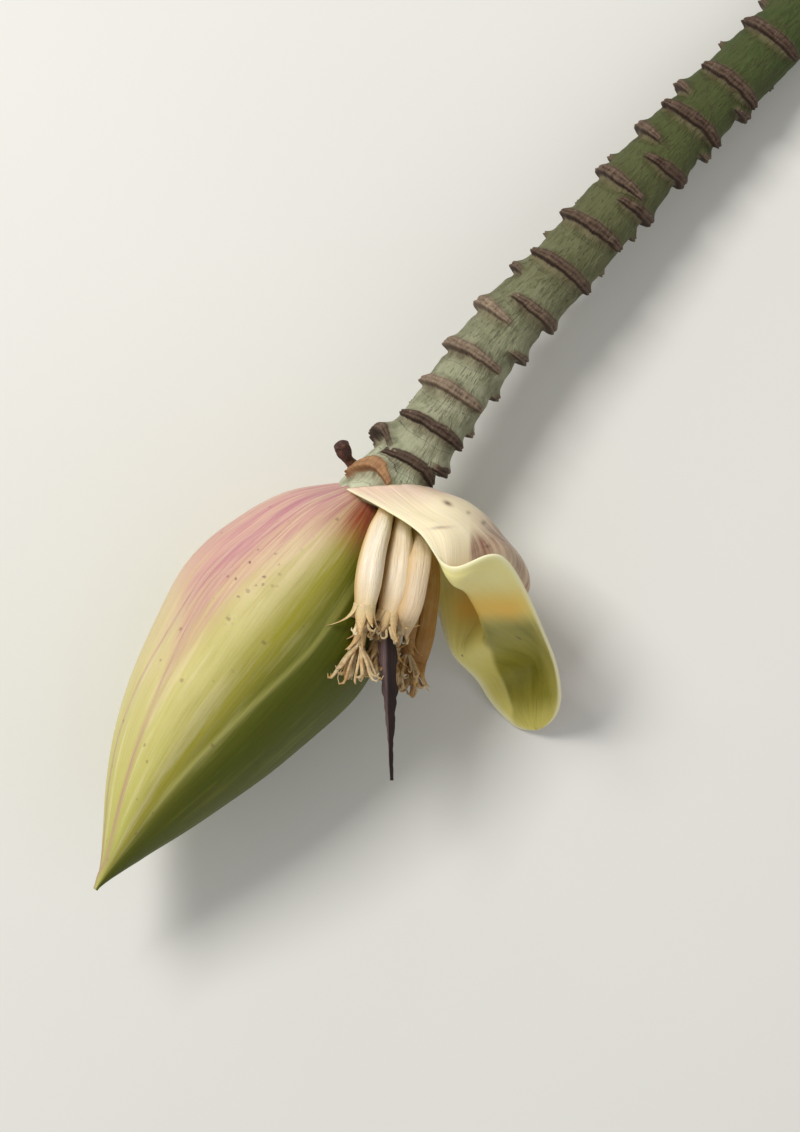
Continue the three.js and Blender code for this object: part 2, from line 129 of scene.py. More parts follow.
def lattice(points: Array, seed: int) -> Array:
    """Smooth value noise in space.

    Args:
        points: Places, with x, y and z in the last axis.
        seed: Number that picks the pattern.

    Returns:
        Values between -1 and 1, one for each place.
    """
    cell = np.floor(points).astype(np.int64)
    part = smoothstep(0.0, 1.0, points - cell)
    total = np.zeros(points.shape[:-1])
    for corner in range(8):
        step = np.array([corner & 1, corner >> 1 & 1, corner >> 2 & 1])
        x, y, z = np.moveaxis((cell + step) * AXIS_FACTORS, -1, 0)
        mixed = (x ^ y ^ z ^ (seed * SEED_FACTOR)) & LOW_BITS
        mixed = ((mixed ^ (mixed >> 13)) * SPREAD_FACTOR) & LOW_BITS
        value = ((mixed ^ (mixed >> 16)) & 0xFFFF) / 32767.5 - 1.0
        total += value * np.prod(np.where(step == 1, part, 1.0 - part), axis=-1)
    return total


def layered(points: Array, seed: int) -> Array:
    """Value noise with finer layers added at half the strength each."""
    layers = [lattice(points * 2.0**k, seed + k) * 0.5**k for k in range(NOISE_LAYERS)]
    return sum(layers) / (2.0 - 0.5 ** (NOISE_LAYERS - 1))


class Spacing(Enum):
    """How a curve through points spaces its knots."""

    EVEN = "even"
    CENTRIPETAL = "centripetal"


@dataclass
class Route:
    """Smooth curve through points, read by share of its length."""

    points: Array
    spacing: Spacing = Spacing.CENTRIPETAL
    samples: int = 400
    nearby: float = 0.004

    def __post_init__(self) -> None:
        """Sample the curve once and measure it."""
        self.points = np.asarray(self.points, float)
        self._places = self.by_knots(np.linspace(0.0, 1.0, self.samples + 1))
        steps = np.linalg.norm(np.diff(self._places, axis=0), axis=1)
        self._run = np.concatenate([[0.0], np.cumsum(steps)])
        self.length = float(self._run[-1])

    def by_knots(self, shares: Array) -> Array:
        """Places at shares of the knot count.

        Args:
            shares: Values from 0 at the first point to 1 at the last.

        Returns:
            One place for each share.
        """
        points = self.points
        last = len(points) - 1
        scaled = np.clip(shares, 0.0, 1.0) * last
        index = np.minimum(scaled.astype(int), last - 1)
        part = (scaled - index)[:, None]
        padded = np.vstack([2.0 * points[0] - points[1], points, 2.0 * points[-1] - points[-2]])
        before, start, end, after = (padded[index + offset] for offset in range(4))
        if self.spacing is Spacing.EVEN:
            leave = 0.5 * (end - before)
            reach = 0.5 * (after - start)
        else:
            first, middle, third = (np.sqrt(np.linalg.norm(b - a, axis=1))[:, None]
                                    for a, b in ((before, start), (start, end), (end, after)))
            leave = ((start - before) / first - (end - before) / (first + middle)
                     + (end - start) / middle) * middle
            reach = ((end - start) / middle - (after - start) / (middle + third)
                     + (after - end) / third) * middle
        square = -3.0 * start + 3.0 * end - 2.0 * leave - reach
        cube = 2.0 * start - 2.0 * end + leave + reach
        return start + leave * part + square * part**2 + cube * part**3

    def at(self, shares: Array) -> Array:
        """Places at shares of the curve's length."""
        target = np.clip(np.atleast_1d(shares), 0.0, 1.0) * self.length
        return joined(*(np.interp(target, self._run, part) for part in self._places.T))

    def heading(self, shares: Array) -> Array:
        """Unit directions along the curve at shares of its length."""
        after = self.at(np.minimum(shares + self.nearby, 1.0))
        return unit(after - self.at(np.maximum(shares - self.nearby, 0.0)))

    def across(self, shares: Array, angles: Array) -> Array:
        """Directions across the curve at angles from straight up, turning to its left.

        Args:
            shares: Shares of the length, one for each row.
            angles: Angles in radians, a row or a grid with one row for each share.

        Returns:
            Unit directions as rows by columns by 3.
        """
        ahead = self.heading(shares)
        left = unit(np.cross(UP, ahead))
        return circled(np.cross(ahead, left), left, angles)


# Meshes

@dataclass
class Surface:
    """Closed surface in millimetres with values carried at its points."""

    places: Array
    faces: list[tuple[int, ...]]
    values: dict[str, Array]

    def __add__(self, other: "Surface") -> "Surface":
        """Both surfaces as one.

        Args:
            other: The surface to add, which carries at least the same values.

        Returns:
            The whole.
        """
        count = len(self.places)
        faces = self.faces + [tuple(index + count for index in face) for face in other.faces]
        values = {name: np.concatenate([value, other.values[name]]) for name, value in self.values.items()}
        return Surface(np.vstack([self.places, other.places]), faces, values)

    def outward(self) -> "Surface":
        """Turn the faces outwards.

        Returns:
            The same surface.
        """
        corners = np.array([face[:3] for face in self.faces])
        first, second, third = (self.places[corners[:, i]] for i in range(3))
        if np.einsum("ij,ij->", first, np.cross(second, third)) < 0.0:
            self.faces = [face[::-1] for face in self.faces]
        return self


def flat(values: Array) -> Array:
    """Rows and columns of values as one list of points."""
    return values.reshape(-1, 3) if values.ndim == 3 else values.reshape(-1)


def tube_surface(rings: Array, values: dict[str, Array]) -> Surface:
    """Closed surface through rings, with a fan on each end.

    Args:
        rings: Places as rings by sides by 3.
        values: Values at those places, as rings by sides, or with 3 numbers each.

    Returns:
        The surface, turned outwards.
    """
    count, sides = rings.shape[:2]
    here = np.arange(sides)
    following = (here + 1) % sides
    faces = []
    for near in range(0, (count - 1) * sides, sides):
        far = near + sides
        faces += list(zip(near + here, near + following, far + following, far + here))
    total = count * sides
    last = total - sides
    faces += list(zip(np.full(sides, total), following, here))
    faces += list(zip(np.full(sides, total + 1), last + here, last + following))
    places = np.vstack([flat(rings), rings[[0, -1]].mean(axis=1)])
    carried = {name: np.concatenate([flat(value), value[[0, -1]].mean(axis=1)])
               for name, value in values.items()}
    return Surface(places, faces, carried).outward()


def blade_surface(outer: Array, inner: Array, values: dict[str, Array],
                  inner_values: dict[str, Array] | None = None) -> Surface:
    """Closed thin surface between two grids of the same size.

    Args:
        outer: Places of the outer face as rows by columns by 3.
        inner: Places of the inner face, as many.
        values: Values on the outer face.
        inner_values: Values on the inner face, if they aren't the same.

    Returns:
        The surface, turned outwards.
    """
    rows, columns = outer.shape[:2]
    index = np.arange(rows * columns).reshape(rows, columns)
    back = index + rows * columns
    quads = [(index[:-1, :-1], index[1:, :-1], index[1:, 1:], index[:-1, 1:]),
             (back[:-1, :-1], back[:-1, 1:], back[1:, 1:], back[1:, :-1]),
             (index[:-1, 0], back[:-1, 0], back[1:, 0], index[1:, 0]),
             (index[:-1, -1], index[1:, -1], back[1:, -1], back[:-1, -1]),
             (index[0, :-1], index[0, 1:], back[0, 1:], back[0, :-1]),
             (index[-1, :-1], back[-1, :-1], back[-1, 1:], index[-1, 1:])]
    faces = []
    for corners in quads:
        faces += list(zip(*(corner.reshape(-1) for corner in corners)))
    inner_values = inner_values or values
    carried = {name: np.concatenate([flat(value), flat(inner_values[name])])
               for name, value in values.items()}
    return Surface(np.vstack([flat(outer), flat(inner)]), faces, carried).outward()


def round_rod(route: Route, radii: Array, sides: int) -> Surface:
    """Thin round rod along a route.

    Args:
        route: The rod's middle line.
        radii: Its radius at even shares of its length.
        sides: How many sides it has.

    Returns:
        The rod's surface, which carries no values yet.
    """
    shares = np.linspace(0.0, 1.0, len(radii))
    ahead = route.heading(shares)
    side = unit(np.cross(ahead, ASKEW))
    around = circled(side, np.cross(ahead, side), turns(sides))
    return tube_surface(route.at(shares)[:, None] + around * radii[:, None, None], {})


@dataclass(frozen=True)
class Placement:
    """Where the model's own millimetres lie in the frame."""

    shift: Array

    @classmethod
    def from_record(cls, record: dict) -> "Placement":
        """Shift that puts the cut end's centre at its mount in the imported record."""
        mount = next(entry for entry in record["mounts"] if entry["name"] == "cut_end")
        return cls(np.array(mount["pos_m"]) - np.array(CUT_CENTRE) * MM)

    def metres(self, places: Array) -> Array:
        """Millimetres of the model as metres of the frame."""
        return places * MM + self.shift


@dataclass
class Dresser:
    """Turns surfaces into pieces of the scene."""

    placement: Placement
    made: list[str] = field(default_factory=list)

    def piece(self, name: str, surface: Surface, finish: "Skin", slot: str, node: str) -> None:
        """Make one piece, put it on the body and let it stand for its solid.

        Args:
            name: Name of the new object.
            surface: Its surface in the model's millimetres.
            finish: Its finish.
            slot: The record's material slot that the finish belongs to.
            node: Name of the solid that it replaces.
        """
        mesh = bpy.data.meshes.new(name)
        mesh.from_pydata(self.placement.metres(surface.places).tolist(), [], surface.faces)
        for value_name, value in surface.values.items():
            kind, key = ("FLOAT_VECTOR", "vector") if value.ndim == 2 else ("FLOAT", "value")
            layer = mesh.attributes.new(value_name, kind, "POINT")
            layer.data.foreach_set(key, np.ascontiguousarray(value, np.float32).reshape(-1))
        mesh.polygons.foreach_set("use_smooth", np.ones(len(mesh.polygons), bool))
        mesh.materials.append(finish.material())
        mesh.update()
        thing = bpy.data.objects.new(name, mesh)
        bpy.context.scene.collection.objects.link(thing)
        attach(thing, BODY)
        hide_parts(node)
        self.made.append(name)
        log.info("%s: %d faces, slot %s", name, len(surface.faces), slot)


# Pieces of the flower stalk

class Part:
    """Sub-assembly that is made as one piece; its names are the piece's, the slot's and the solid's."""

    names: ClassVar[tuple[str, str, str]]

    def surface(self) -> Surface:
        """Whole surface in the model's millimetres."""
        raise NotImplementedError

    def build(self, dresser: Dresser, finish: "Skin") -> None:
        """Make the piece."""
        piece, slot, node = self.names
        dresser.piece(piece, self.surface(), finish, slot, node)


@dataclass(frozen=True)
class Scar:
    """Crescent scar: its millimetres from the neck, its turn, its tone from dark to orange, its shape."""

    start: float
    degrees: float
    tone: float
    arch: float = 0.0
    span: float = 88.0
    proud: float = 1.0


@dataclass
class Stalk(Part):
    """Bare stalk from inside the bud to its flat cut, with a wider pedestal and crescent scars."""

    names: ClassVar[tuple[str, str, str]] = ("flower_stalk_skin", "stalk_skin", "flower_stalk")
    axis: Route
    shaft_radius: float = 11.4
    cut_radius: float = 11.0
    pedestal_radius: float = 17.0
    pedestal_length: float = 18.0
    scar_height: float = 2.4
    bulge: float = 1.5
    tilt: float = 1.2
    far_off: float = 6.0
    scars: tuple[Scar, ...] = tuple(Scar(*numbers) for numbers in (
        (11.8, 30, 1.6, 28.5, 37.0, 1.6), (18.9, -20, -0.3, 3.4, 72.0), (22.5, -118, -0.5, 0.0, 88.0, 1.5),
        (23, 65, 0.0, 28.0, 36.0, 2.0), (33.1, -8, -0.1), (39.4, -166, 0.4), (47.4, 15, 0.95),
        (54.8, -153, 0.3), (62.6, 35, 0.6), (71.2, -116, 0.3), (79.3, 75, 0.8), (87.6, -50, 0.3),
        (96.6, 130, 0.2), (105.6, -5, 0.1), (114.6, 175, 0.4), (123.6, 12, 0.1), (131, -170, 0.3),
        (138, -75, 0.0), (143, 50, 0.2), (149.6, 160, 0.3), (156.3, -60, 0.0), (163.6, 95, 0.2),
        (169.6, -140, 0.3), (175.6, -4, 0.0), (183.6, 120, 0.2), (189.6, -120, 0.1), (195.1, -3, 0.1),
        (205.6, 170, 0.2), (217.1, 17, 0.0), (226.5, 150, 0.2), (235.6, -172, 0.1)))
    cut_scales: tuple[float, ...] = (0.985, 0.955, 0.9, 0.8, 0.68, 0.56, 0.44, 0.32, 0.2, 0.08)
    cut_steps: tuple[float, ...] = (0.22, 0.3, 0.3, 0.22, 0.26, 0.3, 0.22, 0.3, 0.24, 0.3)
    sections: int = 736
    sides: int = 132

    def shaft(self, distance: Array) -> Array:
        """Radius without scars at distances from the neck."""
        plain = mix(self.shaft_radius, self.cut_radius, distance / self.axis.length)
        return mix(self.pedestal_radius, plain, smoothstep(0.0, self.pedestal_length, distance))

    def scarred(self, distance: Array, angle: Array, ragged: Array) -> tuple[Array, Array, Array, Array]:
        """Crescent scars at places on the stalk.

        Args:
            distance: Millimetres from the neck.
            angle: Angles round the stalk in radians.
            ragged: How far each place's crest wanders along the stalk, in millimetres.

        Returns:
            Height above the shaft, millimetres past the nearest crest, that scar's strength and its tone.
        """
        height, strength, tones, hollow = (np.zeros(np.broadcast(distance, angle).shape) for _ in range(4))
        past = np.full(height.shape, self.far_off)
        for k, scar in enumerate(self.scars):
            half_span = math.radians(scar.span)
            away = np.abs(wrapped(angle - math.radians(scar.degrees)))
            arched = scar.start + self.bulge * np.cos(away) - scar.arch * (1.0 - np.cos(away))
            crest = arched - self.tilt * np.sin(angle)
            steep = np.sqrt(1.0 + (scar.arch * np.sin(away) / self.pedestal_radius) ** 2)
            taper = mix(0.5, 1.0, smoothstep(half_span, 0.25 * half_span, away))
            along = (distance - crest + ragged) / (taper * steep)
            fade = 1.0 - smoothstep(0.78 * half_span, half_span, away)
            beyond = np.maximum(along - 0.8, 0.0)
            ledge = smoothstep(-2.2, -1.2, along) * (0.68 * bell(beyond, 2.4) + 0.32 * bell(beyond, 6.0))
            hollow = np.maximum(hollow, 0.7 * fade * bell(along + 3.4, 1.8))
            uneven = 1.0 + 0.15 * jitter(k + 80)
            swell = ledge * fade * self.scar_height * scar.proud * uneven * mix(0.75, 1.0, taper)
            height = np.maximum(height, swell)
            nearer = (np.abs(along) < np.abs(past)) & (fade > 0.0)
            past = np.where(nearer, along, past)
            strength = np.where(nearer, fade, strength)
            tones = np.where(nearer, scar.tone, tones)
        ends = smoothstep(0.0, 5.0, distance) * smoothstep(0.5, 4.0, self.axis.length - distance)
        return (height - hollow * smoothstep(1.2, 0.2, height)) * ends, past, strength * ends, tones

    def surface(self) -> Surface:
        """Skin of the stalk and its cut face.

        Returns:
            The closed surface, with the values that the stalk's finish reads.
        """
        angles = turns(self.sides)
        shares = np.linspace(0.0, 1.0, self.sections + 1)
        distance = (shares * self.axis.length)[:, None]
        place = joined(np.cos(angles) * self.shaft_radius, np.sin(angles) * self.shaft_radius, distance)
        ragged = 0.35 * lattice(place * 0.3, 61) + 0.12 * lattice(place * 1.1, 67)
        height, past, strength, tones = self.scarred(distance, angles[None, :], ragged)
        free = 1.0 - smoothstep(0.0, 9.0, self.pedestal_length - distance) * 0.7
        relief = free * (0.16 * layered(place * (1.1, 1.1, 0.12), 3) + 0.22 * layered(place * 0.45, 11))
        knots = 0.3 * lattice(place * (1.3, 1.3, 0.9), 23) * strength * bell(past, 1.6)
        lips = 0.5 * bell(past + 1.0, 0.55) + 0.3 * bell(past - 1.1, 0.6) - 0.15 * bell(past, 0.4)
        radius = self.shaft(distance) + height + relief + knots + strength * lips
        rings = self.axis.at(shares)[:, None] + self.axis.across(shares, angles) * radius[..., None]
        values = {
            "place": place,
            "past_scar": past,
            "scar": strength,
            "tone": tones,
            "from_neck": np.broadcast_to(distance, past.shape),
            "cut": np.zeros(past.shape),
        }
        return self.closed_by_cut(rings, values)

    def closed_by_cut(self, rings: Array, values: dict[str, Array]) -> Surface:
        """Close the stalk's outer end with a cut face that is rounded at its rim.

        Args:
            rings: The skin's rings, from the neck to the cut.
            values: The values at them.

        Returns:
            The whole surface.
        """
        rim = rings[-1]
        centre = rim.mean(axis=0)
        ahead = self.axis.heading(np.array([1.0]))[0]
        faces = [centre + (rim - centre) * scale + ahead * (step - 0.3)
                 for scale, step in zip(self.cut_scales, self.cut_steps)]
        scales = np.array(self.cut_scales)[:, None]
        last = {name: np.repeat(value[-1:], len(scales), axis=0) for name, value in values.items()}
        last["cut"] = last["cut"] + smoothstep(1.0, 0.93, scales)
        last["place"] = last["place"] * joined(scales, scales, 1.0)
        last["scar"] = np.zeros(last["scar"].shape)
        whole = {name: np.concatenate([value, last[name]]) for name, value in values.items()}
        return tube_surface(np.concatenate([rings, np.array(faces)]), whole)


@dataclass(frozen=True)
class Wrap:
    """How a bract is wrapped round the bud: shares of the length, angles in degrees, lift and grid."""

    tip: float
    left_angles: tuple[float, float]
    right_angle: float
    right_angle_at_tip: float
    under: float
    columns: int
    seed: int
    base: float = 0.985


@dataclass
class Bud:
    """Closed bud: a core and two bracts wrapped round it, flattened a little where it lies."""

    axis: Route
    radius: float = 38.9
    tip_layers: float = 0.45
    tip_length: float = 0.25
    layer_gap: float = 0.55
    thickness: float = 1.7
    tip_wrap: float = math.radians(55.0)
    tip_point: float = 0.3
    grain_radius: float = 30.0
    outline: tuple[tuple[float, float], ...] = (
        (0.0, 0.04), (0.05, 0.12), (0.1, 0.205), (0.2, 0.43), (0.3, 0.618), (0.4, 0.766), (0.5, 0.868),
        (0.6, 0.955), (0.66, 0.975), (0.72, 0.945), (0.78, 0.875), (0.84, 0.785), (0.9, 0.643), (0.96, 0.4),
        (1.0, 0.2))
    core_margins: tuple[float, float] = (96.0, 131.0)
    rows: int = 230
    core_sides: int = 200
    outline_samples: int = 400

    def __post_init__(self) -> None:
        """Sample the outline once and add up the layers."""
        outline = Route(np.array([(share, width, 0.0) for share, width in self.outline]), Spacing.EVEN)
        self._outline = outline.by_knots(np.linspace(0.0, 1.0, self.outline_samples))
        self.inner_lift = self.layer_gap
        self.outer_lift = 2.0 * self.layer_gap + self.thickness
        self.top_lift = self.outer_lift + self.thickness

    def radius_at(self, shares: Array) -> Array:
        """Radius of the bud at shares of its length from the tip."""
        return self.radius * np.interp(shares, self._outline[:, 0], self._outline[:, 1])

    def face(self, shares: Array, angles: Array, lift: Array | float) -> Array:
        """Places at lifts above the core.

        Args:
            shares: Shares of the length from the tip, one for each row.
            angles: Angles from the top as rows by columns, positive to the left of the axis.
            lift: Lifts above the core as rows by columns, or one for all.

        Returns:
            Places as rows by columns by 3.
        """
        layers = mix(self.tip_layers, 1.0, smoothstep(0.0, self.tip_length, shares))[:, None]
        core = np.maximum(self.radius_at(shares)[:, None] - 0.5 * self.top_lift * layers, 0.8)
        reach = (core + lift * layers) * mix(self.tip_point, 1.0, smoothstep(-0.04, 0.1, shares))[:, None]
        places = self.axis.at(shares)[:, None] + self.axis.across(shares, angles) * reach[..., None]
        places[..., 2] = np.maximum(places[..., 2], self.top_lift - lift)
        return places

    def carried(self, shares: Array, angles: Array, margin: Array) -> dict[str, Array]:
        """Values that the bud's finish reads.

        Args:
            shares: Shares of the length from the tip, one for each row.
            angles: Angles from the top as rows by columns.
            margin: Closeness to a margin at the same places.

        Returns:
            The values by name.
        """
        along = np.broadcast_to(shares[:, None], angles.shape)
        side = np.degrees(wrapped(angles))
        band = np.interp(along, (0.1, 0.4, 0.55, 0.75, 0.87, 0.95), (31.0, 30.0, 34.0, 36.0, 33.0, 27.0))
        spread = np.interp(along, (0.2, 0.45, 0.6, 0.8, 1.0), (2.0, 5.0, 12.0, 19.0, 36.0))
        spread = spread * np.where(side > band, mix(1.0, 3.4, smoothstep(0.5, 0.68, along)), 1.0)
        depth = np.interp(along, (0.15, 0.4, 0.55, 0.72, 0.93, 1.0), (0.0, 0.35, 0.7, 0.95, 1.0, 0.95))
        dusky = smoothstep(16.0, 46.0, side) * smoothstep(120.0, 85.0, side)
        grain = self.grain_radius
        return {
            "place": joined(np.cos(angles) * grain, np.sin(angles) * grain, along * self.axis.length),
            "along": along,
            "flush": np.exp(-np.abs((side - band) / spread) ** 2.2) * depth,
            "dusky": dusky * smoothstep(0.15, 0.65, along),
            # Olive towards the bud's right side: partly its own colour, partly painted shade of that side.
            "shade": smoothstep(24.0, -36.0, side) * smoothstep(-175.0, -150.0, side),
            # Red-brown painted shade at the base beside the flowers, where the bract and flowers shade the
            # bud.
            "red_brown_painted_shade": smoothstep(0.84, 0.95, along) * bell(side + 8.0, 17.0),
            "speckled": bell(along - 0.72, 0.09) * bell(side - 24.0, 13.0),
            "rib": np.zeros(angles.shape),
            "margin": margin,
        }

    def wavering(self, shares: Array, seed: int) -> Array:
        """Small wander of a margin in radians, along the bud."""
        return math.radians(1.1) * layered(joined(shares * 7.0, seed * 1.7, 0.0), seed)

    def relief(self, shares: Array, angles: Array, seed: int) -> Array:
        """Long soft veins and swells of a bract's face.

        Args:
            shares: Shares of the length from the tip, one for each row.
            angles: Angles from the top as rows by columns.
            seed: Number for the veins and swells.

        Returns:
            Heights in millimetres.
        """
        along = shares[:, None]
        veins = joined(np.cos(angles) * 14.0, np.sin(angles) * 14.0, along * 2.2)
        swells = joined(np.cos(angles) * 1.6, np.sin(angles) * 1.6, along * 3.0)
        return 0.07 * lattice(veins, seed) + 0.35 * layered(swells, seed + 5)

    def bract(self, wrap: Wrap) -> tuple[Array, Array, Array, Array]:
        """Grid of a wrapped bract whose margins thin out onto what is under them.

        Args:
            wrap: How it is wrapped.

        Returns:
            The shares, the angles, the outer face's lifts and the closeness to the left margin.
        """
        shares = mix(wrap.tip, wrap.base, np.linspace(0.0, 1.0, self.rows) ** 1.1)
        towards_tip, towards_base = np.radians(wrap.left_angles)
        first = mix(towards_tip, towards_base, smoothstep(0.15, 0.7, shares))
        first = first + self.wavering(shares, wrap.seed) + self.tip_wrap * smoothstep(0.06, 0.0, shares)
        spread = smoothstep(wrap.tip, wrap.tip + 0.3, shares)
        last = mix(math.radians(wrap.right_angle_at_tip), math.radians(wrap.right_angle), spread)
        across = np.linspace(0.0, 1.0, wrap.columns) ** 1.35
        angles = mix(first[:, None], last[:, None], across[None, :])
        radius = self.radius_at(shares)[:, None]
        from_left = (first[:, None] - angles) * radius
        from_right = (angles - last[:, None]) * radius
        from_ends = np.minimum(shares - wrap.tip, wrap.base - shares)[:, None] * self.axis.length
        full = smoothstep(0.0, 9.0, from_left) * smoothstep(0.0, 9.0, from_right)
        full = full * smoothstep(0.0, 4.0, from_ends)
        swell = self.thickness - 0.1 + self.relief(shares, angles, wrap.seed)
        return shares, angles, wrap.under + 0.16 + swell * full, bell(from_left, 1.3)

    def outer_bract(self) -> Surface:
        """Outer bract, with the pale rib down its middle and its far margin sunk onto the core.

        Returns:
            The bract's surface.
        """
        under = self.outer_lift - 0.35
        wrap = Wrap(0.0, (29.0, 39.0), -200.0, -190.0, under, columns=200, seed=5)
        shares, angles, lift, margin = self.bract(wrap)
        rib_at = np.radians(mix(-15.0, -27.5, smoothstep(0.1, 0.85, shares)))[:, None]
        off_rib = (angles - rib_at) * self.radius_at(shares)[:, None]
        strength = (smoothstep(0.1, 0.3, shares) * smoothstep(0.92, 0.7, shares))[:, None]
        rib = bell(off_rib, 1.1) * strength
        sunk = smoothstep(math.radians(-140.0), math.radians(-188.0), angles)
        sunk = sunk * (self.outer_lift - self.inner_lift)
        lift = lift + 0.4 * rib + 0.3 * bell(off_rib + 5.0, 6.0) * strength - sunk
        values = dict(self.carried(shares, angles, margin), rib=rib)
        inner = self.face(shares, angles, under - sunk)
        return blade_surface(self.face(shares, angles, lift), inner, values)

    def inner_bract(self) -> Surface:
        """Inner bract, of which a strip beside the outer one's margin shows.

        Returns:
            The bract's surface.
        """
        under = self.inner_lift - 0.3
        wrap = Wrap(0.012, (66.0, 50.0), -45.0, -20.0, under, columns=100, seed=6)
        shares, angles, lift, margin = self.bract(wrap)
        outer = self.face(shares, angles, np.minimum(lift, self.outer_lift - 0.45))
        return blade_surface(outer, self.face(shares, angles, under), self.carried(shares, angles, margin))

    def core(self) -> Surface:
        """Core of packed bracts, whose own margins step down its far side.

        Returns:
            The core's surface.
        """
        shares = np.linspace(0.014, 1.0, self.rows)
        angles = np.broadcast_to(turns(self.core_sides), (self.rows, self.core_sides))
        side = np.degrees(wrapped(angles))
        step = np.zeros(angles.shape)
        margin = np.zeros(angles.shape)
        for k, edge in enumerate(self.core_margins):
            off = side - edge - np.degrees(self.wavering(shares, 30 + k))[:, None]
            past = np.radians(off) * self.radius_at(shares)[:, None]
            step = step - 0.5 * smoothstep(-0.4, 0.4, past) * smoothstep(60.0, 30.0, off)
            margin = np.maximum(margin, bell(past, 0.9))
        shown = smoothstep(178.0, 150.0, np.abs(side))
        lift = (step + self.relief(shares, angles, 9)) * shown
        return tube_surface(self.face(shares, angles, lift), self.carried(shares, angles, margin * shown))

    def build(self, dresser: Dresser, finish: "Skin") -> None:
        """Make the core and both bracts.

        Args:
            dresser: What makes the pieces.
            finish: The bud's finish.
        """
        for name, surface in (("bud_core", self.core()), ("bud_bract_inner", self.inner_bract()),
                              ("bud_bract_outer", self.outer_bract())):
            dresser.piece(f"{name}_skin", surface, finish, "bud_bract", name)


